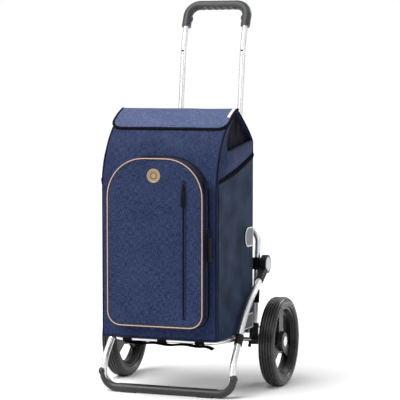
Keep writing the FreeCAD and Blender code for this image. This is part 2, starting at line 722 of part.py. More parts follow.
def make_foot_pads():
    pads = []
    for name, side in SIDES:
        radius = "(dims.leg_tube / 2 + dims.foot_sleeve_wall)"
        start = outward(side, "(dims.leg_low_x - dims.foot_bend - 60)", "45")
        block = box("pad_block_" + name, (start, "-1 * dims.foot_reach - 9", "0"),
                    ("45", "18", "dims.pad_thick + 5"))
        round_off = cylinder("pad_seat_" + name, (start, "-1 * dims.foot_reach", FOOT_Z),
                             radius, "45", ALONG_X)
        pads.append(cut("foot_pad_" + name, block, round_off))
    node(group("foot_pads", pads), "foot_pads")


# ---------------------------------------------------------------- shelf
def shelf_wire():
    sides = []
    for side in (-1, 1):
        sides.append(points_of([
            ("%d * dims.shelf_rear_half" % side, "%s - 12" % SHELF_Y, SHELF_Z),
            ("%d * dims.shelf_rear_half" % side, "%s - 50" % SHELF_Y, SHELF_Z),
            ("%d * dims.shelf_half" % side, "-1 * dims.cross_reach", SHELF_Z),
            ("%d * dims.shelf_front_half" % side, "-1 * dims.shelf_reach", SHELF_Z),
        ]))
    return rounded_wire(sides[0] + sides[1][::-1], [60, 22, 22, 22, 22, 60])


def make_shelf_tube():
    node(bent_tube("shelf_tube", shelf_wire(), "dims.shelf_tube"), "shelf_tube")


def make_shelf_clip(name, side):
    """Clip that snaps round the crossbar and holds the end of the shelf tube."""
    label = "shelf_clip_" + name
    x = "%d * dims.shelf_rear_half" % side
    ring = cylinder(label + "_ring", ("%s - dims.clip_width / 2" % x, SHELF_Y, SHELF_Z),
                    "dims.cross_tube / 2 + dims.clip_wall", "dims.clip_width", ALONG_X)
    neck = cylinder(label + "_neck", (x, "%s - 34" % SHELF_Y, SHELF_Z),
                    "dims.shelf_tube / 2 + 2", "30", ALONG_Y)
    bore = cylinder(label + "_bore", ("%s - dims.clip_width" % x, SHELF_Y, SHELF_Z),
                    "dims.cross_tube / 2 + dims.pin_gap", "2 * dims.clip_width", ALONG_X)
    seat = cylinder(label + "_seat", (x, "%s - 50" % SHELF_Y, SHELF_Z),
                    "dims.shelf_tube / 2", "38", ALONG_Y)
    node(cut(label, fuse(label + "_body", [ring, neck]), bore, seat), label)


STRAP_PLACES = (("left", "-112"), ("middle", "-10"), ("right", "100"))


def make_shelf_straps():
    loops = []
    for name, x in STRAP_PLACES:
        label = "shelf_strap_" + name
        at = ("%s - dims.strap_width / 2" % x, "-1 * dims.shelf_reach", SHELF_Z)
        outside = cylinder(label + "_out", at, "dims.shelf_tube / 2 + dims.strap_thick",
                           "dims.strap_width", ALONG_X)
        tail = box(label + "_tail", (at[0], at[1], "%s + dims.shelf_tube / 2" % SHELF_Z),
                   ("dims.strap_width", "dims.strap_tail", "dims.strap_thick"))
        inside = cylinder(label + "_in", at, "dims.shelf_tube / 2", "dims.strap_width", ALONG_X)
        loops.append(cut(label, fuse(label + "_body", [outside, tail]), inside))
    node(group("shelf_straps", loops), "shelf_straps")


# ---------------------------------------------------------------- bag
ROOF_Z = "(%s + dims.roof_height)" % BASE_Z
EAVES_Z = "(%s + dims.eaves_height)" % BASE_Z
COLLAR_Z = "(%s + dims.collar_height)" % BASE_Z


def roof_height_at(reach, shrink="0"):
    """z of the round front top above a distance in front of the axle."""
    middle = "(dims.bag_front - dims.roof_radius)"
    return "(%s + sqrt((dims.roof_radius - %s) ^ 2 - (%s - %s) ^ 2))" % (
        ROOF_Z, shrink, reach, middle)


def roof_sagitta(shrink, reach, top_z):
    """Bulge of the roof arc between its start and the ridge."""
    chord = "sqrt((dims.bag_front - %s - %s) ^ 2 + (%s - %s) ^ 2)" % (
        shrink, reach, top_z, ROOF_Z)
    radius = "(dims.roof_radius - %s)" % shrink
    return "(%s - sqrt(%s ^ 2 - (%s / 2) ^ 2))" % (radius, radius, chord)


def bag_profile(shrink):
    """Side view of the bag, inside or outside the panels, as (y, z) corners."""
    ridge = "dims.ridge_reach"
    top_z = roof_height_at(ridge, shrink)
    front = "-1 * (dims.bag_front - %s)" % shrink
    back = "-1 * (dims.bag_back + %s)" % shrink
    low = "(%s + %s)" % (BASE_Z, shrink)
    return [
        (back, low),
        (back, "%s - %s * 0.3" % (EAVES_Z, shrink)),
        ("-1 * %s" % ridge, top_z, roof_sagitta(shrink, ridge, top_z)),
        (front, ROOF_Z),
        (front, low),
    ]


def bag_block(name, shrink, width):
    """Full block of the bag's outline across X."""
    body = padded_body(name, "YZ_Plane", bag_profile(shrink), width)
    body.Placement.Base = V(0, ORIGIN_Y, 0)
    return body


def make_bag_panels():
    outside = bag_block("bag_outside", "0", "dims.bag_width")
    inside = bag_block("bag_inside", "dims.panel", "dims.bag_width - 2 * dims.panel")
    shell = cut("bag_shell", outside, inside)
    half = "dims.bag_width / 2"
    inner = "(dims.bag_width / 2 - dims.panel)"
    floor = "(%s + dims.panel)" % BASE_Z
    deep = "(dims.bag_front + 50)"
    tall = "(%s - %s)" % (COLLAR_Z, floor)
    middle_y = "-1 * dims.ridge_reach"
    regions = (
        ("bag_base", ("-1 * " + half, "-1 * " + deep, BASE_Z), ("dims.bag_width", deep, "dims.panel")),
        ("bag_front", ("-1 * " + inner, "-1 * " + deep, floor),
         ("2 * " + inner, deep + " - dims.ridge_reach", tall)),
        ("bag_back", ("-1 * " + inner, middle_y, floor), ("2 * " + inner, "dims.ridge_reach", tall)),
        ("bag_side_left", ("-1 * " + half, "-1 * " + deep, floor), ("dims.panel", deep, tall)),
        ("bag_side_right", (inner, "-1 * " + deep, floor), ("dims.panel", deep, tall)),
        ("lining_collar", ("-1 * " + half, "-1 * " + deep, COLLAR_Z), ("dims.bag_width", deep, "200")),
    )
    for name, corner, size in regions:
        panel = common(name + "_region", shell, box(name + "_box", corner, size))
        if name == "lining_collar":
            mouth = box("mouth", ("-1 * %s + 12" % half, "-1 * dims.mouth_front", COLLAR_Z),
                        ("dims.bag_width - 24", "dims.mouth_front - dims.mouth_back", "200"))
            panel = cut(name + "_open", panel, mouth)
        node(panel, name)


def pocket_outline(shrink):
    """Front view of the pocket as (x, z) corners, with round corners."""
    half = "(dims.pocket_width / 2 - %s)" % shrink
    low = "(%s + dims.pocket_bottom + %s)" % (BASE_Z, shrink)
    high = "(%s + dims.pocket_bottom + dims.pocket_height - %s)" % (BASE_Z, shrink)
    big = "(dims.pocket_top_radius - %s)" % shrink
    small = "(dims.pocket_low_radius - %s)" % shrink
    bulge = " * (1 - sqrt(0.5))"
    return [
        ("%s - %s" % (half, small), low, small + bulge),
        (half, "%s + %s" % (low, small)),
        (half, "%s - %s" % (high, big), big + bulge),
        ("%s - %s" % (half, big), high),
        ("-1 * %s + %s" % (half, big), high, big + bulge),
        ("-1 * %s" % half, "%s - %s" % (high, big)),
        ("-1 * %s" % half, "%s + %s" % (low, small), small + bulge),
        ("-1 * %s + %s" % (half, small), low),
    ]


POCKET_X = 5.5


def pocket_layer(name, shrink, front, depth):
    """Plate with the pocket's outline; its front face is at a distance from the axle."""
    body = padded_body(name, "XZ_Plane", pocket_outline(shrink), depth, midplane=False)
    body.Placement.Base = V(POCKET_X, ORIGIN_Y - val("%s - %s" % (front, depth)), 0)
    return body


def make_pocket():
    rim = "dims.panel"
    hollow_depth = "(dims.pocket_depth - dims.panel)"
    gusset_front = "(dims.bag_front + %s)" % hollow_depth
    outer = pocket_layer("gusset_outside", "0", gusset_front, hollow_depth)
    inner = pocket_layer("gusset_inside", rim, gusset_front, hollow_depth)
    node(cut("pocket_gusset", outer, inner), "pocket_gusset")
    node(pocket_layer("pocket_face", "0", POCKET_FACE, "dims.panel"), "pocket_face")
    edge = pocket_layer("piping_outside", "0 - 1.5", "(%s + 1.5)" % POCKET_FACE, "1.5")
    core = pocket_layer("piping_inside", "dims.piping_dia", "(%s + 1.5)" % POCKET_FACE, "1.5")
    node(cut("pocket_piping", edge, core), "pocket_piping")


def on_pocket_face(name, x, z, width, tall, thick, lift="0"):
    """Small plate on the pocket's face; x is its middle and z its lower end."""
    corner = ("%s - %s / 2" % (x, width), "-1 * (%s + %s + %s)" % (POCKET_FACE, lift, thick), z)
    return box(name, corner, (width, thick, tall))


BADGE_Z = "(%s + 446)" % BASE_Z
ZIP_LOW = "(%s + 66)" % BASE_Z
ZIP_TALL = "366"
GUSSET_ZIP_LOW = "(%s + 70)" % BASE_Z
GUSSET_ZIP_TALL = "360"
SLIDER_TALL = "12"


def make_badge():
    at = ("5", "-1 * (%s + 2)" % POCKET_FACE, BADGE_Z)
    disc = cylinder("badge_disc", at, "dims.badge_dia / 2", "2", ALONG_Y)
    ring = cylinder("badge_ring", ("5", "-1 * (%s + 3)" % POCKET_FACE, BADGE_Z),
                    "dims.badge_dia / 2", "1", ALONG_Y)
    hole = cylinder("badge_hole", ("5", "-1 * (%s + 3)" % POCKET_FACE, BADGE_Z),
                    "dims.badge_dia / 2 - 3", "1", ALONG_Y)
    node(fuse("badge", [disc, cut("badge_rim", ring, hole)]), "pocket_badge")


def make_zips():
    node(on_pocket_face("face_zip", "dims.zip_x", ZIP_LOW, "dims.zip_width", ZIP_TALL,
                        "dims.zip_thick"), "face_zip")
    slider_z = "(%s + %s - 16)" % (ZIP_LOW, ZIP_TALL)
    node(on_pocket_face("face_slider", "dims.zip_x", slider_z, "7", SLIDER_TALL, "2.6",
                        "dims.zip_thick + 0.3"), "face_zip_slider")
    puller = on_pocket_face("face_puller", "dims.zip_x", "%s - 52" % slider_z, "6", "62", "2",
                            "dims.zip_thick + 3.5")
    node(puller, "face_zip_puller")
    side_x = "(%g + dims.pocket_width / 2)" % POCKET_X
    middle = "(dims.bag_front + dims.pocket_depth / 2)"
    node(box("gusset_zip", (side_x, "-1 * %s - dims.zip_width / 2" % middle, GUSSET_ZIP_LOW),
             ("dims.zip_thick", "dims.zip_width", GUSSET_ZIP_TALL)), "gusset_zip")
    low = "(%s + 296)" % BASE_Z
    node(box("gusset_slider", ("%s + dims.zip_thick + 0.3" % side_x, "-1 * %s - 3.5" % middle, low),
             ("2.6", "7", SLIDER_TALL)), "gusset_zip_slider")
    node(box("gusset_puller", ("%s + dims.zip_thick + 3.5" % side_x, "-1 * %s - 3" % middle,
                               "%s - 76" % low), ("2", "6", "84")), "gusset_zip_puller")


BAND_FRONT = "(%s + 428)" % BASE_Z
BAND_BACK = "(%s + 488)" % BASE_Z


def both_sides(maker, name):
    """The same flat piece on both sides of the bag, as two solids of one sub-part."""
    node(group(name, [maker("%s_%s" % (name, word), side) for word, side in SIDES]), name)


def side_plate(name, side, corners, start, thick):
    """Plate on the bag's side whose inner face is at a distance from the middle."""
    body = padded_body(name + "_plate", "YZ_Plane", corners, thick)
    x = val("%s + %s / 2" % (start, thick))
    body.Placement.Base = V(side * x, ORIGIN_Y, 0)
    return body


def side_pocket(name, side):
    low = "(%s + dims.panel)" % BASE_Z
    front, back = "-1 * (dims.bag_front - 8)", "-1 * (dims.bag_back + 4)"
    corners = [(front, low), (back, low), (back, BAND_BACK), (front, BAND_FRONT)]
    return side_plate(name, side, corners, "dims.bag_width / 2", "dims.side_panel")


def side_band(name, side):
    front, back = "-1 * (dims.bag_front - 8)", "-1 * (dims.bag_back + 4)"
    corners = [(front, BAND_FRONT), (back, BAND_BACK), (back, BAND_BACK + " + dims.band_width"),
               (front, BAND_FRONT + " + dims.band_width")]
    return side_plate(name, side, corners, "dims.bag_width / 2", "dims.side_panel + 0.5")


def reflector(name, side):
    """Round-fronted patch halfway up the back edge and a plain one near the base."""
    back = "-1 * (dims.bag_back + 6)"
    start = "(dims.bag_width / 2 + dims.side_panel)"
    high, low = [], []
    for patch, front, foot, top in ((high, "-85", 236, 290), (low, "-106", 6, 48)):
        foot_z, top_z = "%s + %d" % (BASE_Z, foot), "%s + %d" % (BASE_Z, top)
        patch += [(front, foot_z), (back, foot_z), (back, top_z), (front, top_z)]
    high[3] += ("20",)
    pair = [side_plate(name + "_high", side, high, start, "dims.reflector_thick"),
            side_plate(name + "_low", side, low, start, "dims.reflector_thick")]
    return group(name, pair)


def make_bag_hooks():
    """Two hooks behind the bag that hang over the top bar of the arch."""
    top = "(%s + dims.arch_tube / 2 + dims.run_gap)" % ARCH_TOP_Z
    far = "(%s + dims.arch_tube / 2 + dims.run_gap)" % arch_y(ARCH_TOP_Z)
    hooks = []
    for name, side in SIDES:
        x = "%d * dims.hook_apart / 2 - dims.hook_width / 2" % side
        plate = box("hook_plate_" + name, (x, "-1 * dims.bag_back", "%s - 30" % top),
                    ("dims.hook_width", "dims.hook_plate", "40"))
        arm = box("hook_arm_" + name, (x, "-1 * dims.bag_back", top),
                  ("dims.hook_width", "dims.bag_back + %s + dims.hook_bar" % far,
                   "dims.hook_bar"))
        lip = box("hook_lip_" + name, (x, far, "%s - 14" % top),
                  ("dims.hook_width", "dims.hook_bar", "16"))
        hooks.append(fuse("bag_hook_" + name, [plate, arm, lip]))
    node(group("bag_hooks", hooks), "bag_hooks")


LID_GAP = "0.5"


def make_lid():
    """Curved flap from the ridge over the mouth, with a strip on its right end."""
    under = "(0 - %s)" % LID_GAP
    over = "(0 - %s - dims.lid_thick)" % LID_GAP
    ridge, edge = "(dims.ridge_reach + 1)", "dims.lid_reach"
    corners = [
        ("-1 * %s" % ridge, roof_height_at(ridge, under), lid_bulge(under)),
        ("-1 * %s" % edge, roof_height_at(edge, under)),
        ("-1 * %s" % edge, roof_height_at(edge, over), "0 - " + lid_bulge(over)),
        ("-1 * %s" % ridge, roof_height_at(ridge, over)),
    ]
    body = padded_body("lid", "YZ_Plane", corners, "dims.bag_width + 4")
    body.Placement.Base = V(0, ORIGIN_Y, 0)
    node(body, "lid_flap")


def lid_bulge(shrink):
    ridge, edge = "(dims.ridge_reach + 1)", "dims.lid_reach"
    chord = "sqrt((%s - %s) ^ 2 + (%s - %s) ^ 2)" % (
        edge, ridge, roof_height_at(ridge, shrink), roof_height_at(edge, shrink))
    radius = "(dims.roof_radius - %s)" % shrink
    return "(%s - sqrt(%s ^ 2 - (%s / 2) ^ 2))" % (radius, radius, chord)


# ---------------------------------------------------------------- wheels
def make_tyre(name, side):
    half = "dims.tyre_width / 2"
    seat, tread = "dims.rim_dia / 2", "dims.wheel_dia / 2"
    corners = [("-1 * %s + 4" % half, seat), ("%s - 4" % half, seat),
               (half, "%s + 6" % seat), (half, "%s - 9" % tread, "2.4"),
               ("%s - 9" % half, tread)]
    for groove in (1, 0, -1):
        right = "%d * dims.groove_pitch + dims.groove / 2" % groove
        left = "%d * dims.groove_pitch - dims.groove / 2" % groove
        floor = "%s - dims.groove_depth" % tread
        corners += [(right, tread), (right, floor), (left, floor), (left, tread)]
    corners += [("-1 * %s + 9" % half, tread, "2.4"), ("-1 * %s" % half, "%s - 9" % tread),
                ("-1 * %s" % half, "%s + 6" % seat)]
    body = turned_body("tyre_body_" + name, corners)
    place(body, "%d * dims.track / 2" % side, "0", AXLE_Z)
    node(body, "tyre_" + name)


def make_rim(name, side):
    """Rim turned in one piece, with three windows that leave three spokes."""
    half, seat = "dims.rim_width / 2", "dims.rim_dia / 2"
    hub, bore = "dims.wheel_hub_dia / 2", "dims.bearing_dia / 2"
    web = "6"
    corners = [
        ("-1 * " + half, bore), (half, bore), (half, hub), (web, hub + " + 4"),
        (web, seat + " - 14"), (half, seat + " - 8"), (half, seat),
        ("-1 * " + half, seat), ("-1 * " + half, seat + " - 8"), ("-1 * " + web, seat + " - 14"),
        ("-1 * " + web, hub + " + 4"), ("-1 * " + half, hub),
    ]
    body = turned_body("rim_body_" + name, corners)
    doc.recompute()
    window = window_sketch(body, name)
    pocket = body.newObject("PartDesign::Pocket", "window_cut_" + name)
    pocket.Profile = window
    pocket.Type = 1
    pocket.Midplane = True
    pattern = body.newObject("PartDesign::PolarPattern", "windows_" + name)
    pattern.Originals = [pocket]
    pattern.Axis = (window, ["N_Axis"])
    pattern.Angle = 360
    pattern.Occurrences = 3
    body.Tip = pattern
    place(body, "%d * dims.track / 2" % side, "0", AXLE_Z)
    cap_start = "((dims.track + dims.rim_width) / 2 - dims.cap_seat)"
    recess = cylinder("cap_recess_" + name,
                      (outward(side, cap_start, "dims.cap_seat"), "0", AXLE_Z),
                      "dims.cap_dia / 2 + dims.pin_gap", "dims.cap_seat", ALONG_X)
    node(cut("rim_" + name, body, recess), "rim_" + name)


def window_sketch(body, name):
    """One window between two spokes: two arcs joined by two spoke edges."""
    near, far = val("dims.wheel_hub_dia / 2") + 9, val("dims.rim_dia / 2") - 18
    half_spoke = val("dims.spoke_width") / 2
    spots = []
    for radius in (near, far):
        share = math.asin(half_spoke / radius)
        for sign in (-1, 1):
            angle = math.radians(30) + sign * (math.pi / 3 - share)
            spots.append(V(radius * math.cos(angle), radius * math.sin(angle), 0))
    middle = V(math.cos(math.radians(30)), math.sin(math.radians(30)), 0)
    sketch = sketch_in(body, "window_" + name, "YZ_Plane")
    sketch.addGeometry([
        Part.Arc(spots[0], middle * near, spots[1]),
        Part.LineSegment(spots[1], spots[3]),
        Part.Arc(spots[2], middle * far, spots[3]),
        Part.LineSegment(spots[2], spots[0]),
    ], False)
    return sketch


def make_bearings(name, side):
    """Two bushes, pressed in from both ends of the wheel hub."""
    bushes = []
    inner_end = "(dims.track / 2 - dims.rim_width / 2)"
    outer_start = "((dims.track + dims.rim_width) / 2 - dims.cap_seat - dims.bush_length - 2)"
    for number, start in enumerate((inner_end, outer_start), start=1):
        label = "bush_%s_%d" % (name, number)
        at = (outward(side, start, "dims.bush_length"), "0", AXLE_Z)
        body = cylinder(label + "_body", at, "dims.bearing_dia / 2", "dims.bush_length", ALONG_X)
        bore = cylinder(label + "_bore", at, "dims.axle_dia / 2 + dims.pin_gap",
                        "dims.bush_length", ALONG_X)
        bushes.append(cut(label, body, bore))
    node(group("wheel_bearings_" + name, bushes), "wheel_bearings_" + name)


def make_hub_cap(name, side):
    start = "((dims.track + dims.rim_width) / 2 - dims.cap_seat + dims.cap_travel + 0.3)"
    length = "(dims.cap_seat - 1.3)"
    at = (outward(side, start, length), "0", AXLE_Z)
    cap = cylinder("cap_" + name, at, "dims.cap_dia / 2", length, ALONG_X)
    node(cap, "wheel_button_" + name)


# ---------------------------------------------------------------- whole trolley
def build():
    make_arch()
    make_crossbar()
    make_grip()
    make_clamps()
    make_axle()
    make_arch_straps()
    make_screws()
    make_leg_tube()
    make_foot_sleeve()
    make_foot_pads()
    make_shelf_tube()
    make_shelf_straps()
    rivets, pins, collars = [], [], []
    for name, side in SIDES:
        make_handle(name, side)
        rivets.append(rivet("grip_rivet_" + name, side))
        make_axle_bracket(name, side)
        pins.append(make_pivot_clamp(name, side))
        make_leg_hub(name, side)
        make_fold_button(name, side)
        collars.append(make_leg_collar(name, side))
        make_shelf_clip(name, side)
        make_tyre(name, side)
        make_rim(name, side)
        make_bearings(name, side)
        make_hub_cap(name, side)
    node(group("handle_rivets", rivets), "handle_rivets")
    node(group("pivot_pins", pins), "pivot_pins")
    node(group("leg_collars", collars), "leg_collars")
    make_bag_panels()
    make_pocket()
    make_badge()
    make_zips()
    for name, side in SIDES:
        label = "side_pocket_" + name
        node(side_pocket(label, side), label)
    both_sides(side_band, "elastic_bands")
    both_sides(reflector, "reflectors")
    make_bag_hooks()
    make_lid()


def check_and_export():
    doc.recompute()
    for piece in doc.Objects:
        if {"Invalid", "Error"} & set(piece.State):
            raise RuntimeError("%s failed: %s" % (piece.Label, piece.State))
    os.makedirs("parts", exist_ok=True)
    for piece in NODES:
        shape = piece.Shape
        if shape.isNull() or not shape.isValid() or not shape.Solids:
            raise RuntimeError("%s has no valid solid" % piece.Label)
    for piece in NODES:
        piece.Shape.exportStep("parts/%s.step" % piece.Label)
    print("%d sub-parts" % len(NODES))


build()
check_and_export()
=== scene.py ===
"""Looks of the shopping trolley: cloth, webbing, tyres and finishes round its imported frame."""

import logging
import math
from dataclasses import dataclass
from enum import Enum
from typing import Callable, Iterable, Sequence

import bpy
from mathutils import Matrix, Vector, noise


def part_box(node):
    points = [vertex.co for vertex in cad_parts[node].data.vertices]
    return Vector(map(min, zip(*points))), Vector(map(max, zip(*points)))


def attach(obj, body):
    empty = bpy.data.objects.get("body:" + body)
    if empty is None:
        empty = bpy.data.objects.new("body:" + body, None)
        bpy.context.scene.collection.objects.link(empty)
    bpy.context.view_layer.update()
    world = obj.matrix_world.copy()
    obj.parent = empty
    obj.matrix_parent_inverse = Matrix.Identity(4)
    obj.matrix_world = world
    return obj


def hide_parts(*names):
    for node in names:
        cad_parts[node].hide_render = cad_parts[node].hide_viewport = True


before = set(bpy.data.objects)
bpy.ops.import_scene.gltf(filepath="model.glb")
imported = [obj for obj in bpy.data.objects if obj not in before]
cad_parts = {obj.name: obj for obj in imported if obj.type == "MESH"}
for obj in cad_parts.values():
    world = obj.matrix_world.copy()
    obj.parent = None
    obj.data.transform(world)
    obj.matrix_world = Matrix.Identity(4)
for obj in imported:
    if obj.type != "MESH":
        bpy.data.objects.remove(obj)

log = logging.getLogger("trolley")

Colour = tuple[float, float, float]
Surface = Callable[[float, float], Vector]
SIDES = (("left", -1), ("right", 1))
MERGE = 1e-5  # metres between points that are merged
DUST = (0.55, 0.54, 0.52)


# ---------------------------------------------------------------- hand tools


class Bench:
    """Hand tools that every new mesh is made with."""

    @staticmethod
    def clear() -> None:
        """Leave object mode with nothing selected."""
        if bpy.context.object is not None and bpy.context.object.mode != "OBJECT":
            bpy.ops.object.mode_set(mode="OBJECT")
        bpy.ops.object.select_all(action="DESELECT")

    @staticmethod
    def pick(piece: bpy.types.Object) -> None:
        """Select one piece alone and make it active."""
        Bench.clear()
        piece.select_set(True)
        bpy.context.view_layer.objects.active = piece

    @staticmethod
    def named(name: str) -> bpy.types.Object:
        """Name the piece that was just added.

        Args:
            name: The piece's name.

        Returns:
            The piece, with its place moved into its mesh.
        """
        piece = bpy.context.object
        piece.name = name
        piece.data.name = name
        bpy.ops.object.transform_apply(location=True, rotation=True, scale=True)
        return piece

    @staticmethod
    def edit(piece: bpy.types.Object, *steps: Callable[[], object]) -> None:
        """Run operators in edit mode on all of a piece.

        Args:
            piece: The mesh to edit.
            steps: Calls that run one operator each.
        """
        Bench.pick(piece)
        bpy.ops.object.mode_set(mode="EDIT")
        bpy.ops.mesh.select_all(action="SELECT")
        for step in steps:
            step()
        bpy.ops.object.mode_set(mode="OBJECT")

    @staticmethod
    def cut_away(piece: bpy.types.Object, gone: Callable[[Vector], bool]) -> None:
        """Delete the faces whose middle passes a test.

        Args:
            piece: The mesh to cut.
            gone: Whether a face with that middle goes.
        """
        Bench.edit(piece, lambda: bpy.ops.mesh.select_mode(type="FACE"),
                   lambda: bpy.ops.mesh.select_all(action="DESELECT"))
        for polygon in piece.data.polygons:
            polygon.select = gone(polygon.center)
        bpy.ops.object.mode_set(mode="EDIT")
        bpy.ops.mesh.delete(type="FACE")
        bpy.ops.mesh.select_mode(type="VERT")
        bpy.ops.object.mode_set(mode="OBJECT")

    @staticmethod
    def weld(piece: bpy.types.Object, recalculate: bool = False) -> None:
        """Merge doubles, and turn the faces outwards where asked."""
        steps = [lambda: bpy.ops.mesh.remove_doubles(threshold=MERGE)]
        if recalculate:
            steps.append(lambda: bpy.ops.mesh.normals_make_consistent(inside=False))
        Bench.edit(piece, *steps)

    @staticmethod
    def modify(piece: bpy.types.Object, kind: str, **settings: object) -> None:
        """Add one modifier and apply it.

        Args:
            piece: The mesh to change.
            kind: Blender's name for the modifier.
            settings: Its values.
        """
        Bench.pick(piece)
        modifier = piece.modifiers.new(kind.title(), kind)
        for key, value in settings.items():
            setattr(modifier, key, value)
        bpy.ops.object.modifier_apply(modifier=modifier.name)

    @staticmethod
    def soften(piece: bpy.types.Object, degrees: float = 40) -> None:
        """Shade smooth, with edges sharper than an angle kept crisp."""
        Bench.pick(piece)
        bpy.ops.object.shade_smooth_by_angle(angle=math.radians(degrees))

    @staticmethod
    def wall(piece: bpy.types.Object, thickness: float, degrees: float = 60) -> None:
        """Give a sheet its thickness inwards, and round it once.

        Args:
            piece: The sheet, one face thick.
            thickness: Thickness of its wall.
            degrees: Edges sharper than this are kept crisp.
        """
        Bench.modify(piece, "SOLIDIFY", thickness=thickness, offset=-1)
        Bench.modify(piece, "SUBSURF", levels=1, render_levels=1)
        Bench.soften(piece, degrees)

    @staticmethod
    def loft(name: str, columns: int, rows: int, where: Surface,
             size: tuple[float, float] = (1.0, 1.0)) -> bpy.types.Object:
        """Grid laid on a surface; its normal is the way u turns into v.

        Args:
            name: The piece's name.
            columns: Faces along u.
            rows: Faces along v.
            where: Point of the surface for u and v from 0 to 1.
            size: Length along u and v in metres, for the cloth's own map.

        Returns:
            The sheet, one face thick.
        """
        Bench.clear()
        bpy.ops.mesh.primitive_grid_add(x_subdivisions=columns, y_subdivisions=rows, size=1)
        piece = Bench.named(name)
        for vertex in piece.data.vertices:
            vertex.co = where(vertex.co.x + 0.5, vertex.co.y + 0.5)
        for corner in piece.data.uv_layers.active.data:
            corner.uv = (corner.uv[0] * size[0], corner.uv[1] * size[1])
        return piece

    @staticmethod
    def tube(name: str, points: Sequence[Vector], radius: float,
             closed: bool = False, sides: int = 3) -> bpy.types.Object:
        """Round bar that follows a line of points.

        Args:
            name: The piece's name.
            points: Points along its middle.
            radius: Half its thickness.
            closed: Whether the line comes back to its start.
            sides: Bevel resolution of its section.

        Returns:
            The bar as a mesh.
        """
        Bench.clear()
        bpy.ops.curve.primitive_nurbs_path_add()
        line = bpy.context.object
        spline = line.data.splines[0]
        spline.points.add(len(points) - len(spline.points))
        for knot, point in zip(spline.points, points):
            knot.co = (*point, 1)
        spline.order_u = 3
        spline.use_endpoint_u = not closed
        spline.use_cyclic_u = closed
        line.data.resolution_u = 3
        line.data.bevel_depth = radius
        line.data.bevel_resolution = sides
        line.data.use_fill_caps = not closed
        bpy.ops.object.convert(target="MESH")
        piece = Bench.named(name)
        Bench.weld(piece, recalculate=True)
        Bench.soften(piece)
        return piece

    @staticmethod
    def block(name: str, low: Sequence[float], high: Sequence[float],
              round_off: float = 0.0005, segments: int = 2) -> bpy.types.Object:
        """Box between two corners with rounded edges.

        Args:
            name: The piece's name.
            low: Lowest corner.
            high: Highest corner.
            round_off: Radius of its edges.
            segments: Faces across each rounded edge.

        Returns:
            The box.
        """
        Bench.clear()
        low, high = Vector(low), Vector(high)
        bpy.ops.mesh.primitive_cube_add(size=1, location=(low + high) / 2, scale=high - low)
        piece = Bench.named(name)
        if round_off:
            Bench.modify(piece, "BEVEL", width=round_off, segments=segments)
        Bench.soften(piece)
        return piece

    @staticmethod
    def turned(name: str, outline: Sequence[tuple[float, float]], middle: Vector,
               steps: int = 96) -> bpy.types.Object:
        """Closed outline spun round a line along X.

        Args:
            name: The piece's name.
            outline: (x, radius) corners, from the middle.
            middle: Point on the axis.
            steps: Faces round the axis.

        Returns:
            The ring.
        """
        Bench.clear()
        bpy.ops.mesh.primitive_circle_add(vertices=len(outline), radius=1)
        piece = Bench.named(name)
        for vertex, (x, radius) in zip(piece.data.vertices, outline):
            vertex.co = middle + Vector((x, 0, radius))
        Bench.edit(
            piece,
            lambda: bpy.ops.mesh.spin(steps=steps, angle=2 * math.pi, center=middle,
                                      axis=(1, 0, 0), use_normal_flip=False),
            lambda: bpy.ops.mesh.select_all(action="SELECT"),
            lambda: bpy.ops.mesh.remove_doubles(threshold=MERGE),
            lambda: bpy.ops.mesh.normals_make_consistent(inside=False),
        )
        Bench.soften(piece, 50)
        return piece

    @staticmethod
    def join(name: str, pieces: Iterable[bpy.types.Object]) -> bpy.types.Object:
        """Make one piece of several.

        Args:
            name: The joined piece's name.
            pieces: What it is made of; the first one's finish comes first.

        Returns:
            The joined piece.
        """
        pieces = list(pieces)
        Bench.pick(pieces[0])
        for piece in pieces[1:]:
            piece.select_set(True)
        bpy.ops.object.join()
        joined = bpy.context.object
        joined.name = name
        joined.data.name = name
        return joined


def ripple(point: Vector, frequency: float, seed: float) -> float:
    """Smooth unevenness from -1 to 1 at a point.

    Args:
        point: Where.
        frequency: Waves in a metre.
        seed: Which pattern.

    Returns:
        The height of the wave.
    """
    return noise.noise(point * frequency + Vector((seed, seed * 2, -seed)))


def sewn(piece: bpy.types.Object, body: str, slot: str, finish: "Finish",
         *nodes: str) -> bpy.types.Object:
    """Dress a piece and put it on its body.

    Args:
        piece: The finished mesh.
        body: The frame's body that it moves with.
        slot: The record's material slot; not used.
        finish: What it is made of.
        nodes: Solids of the frame that it stands for.

    Returns:
        The piece.
    """
    if not piece.data.materials:
        piece.data.materials.append(finish.material())
    if nodes:
        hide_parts(*nodes)
    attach(piece, body)
    log.info("%s rides on %s", piece.name, body)
    return piece


# ---------------------------------------------------------------- finishes


def opaque(value: object) -> object:
    """A colour with its alpha, or any other value as it is."""
    return (*value, 1) if isinstance(value, tuple) else value


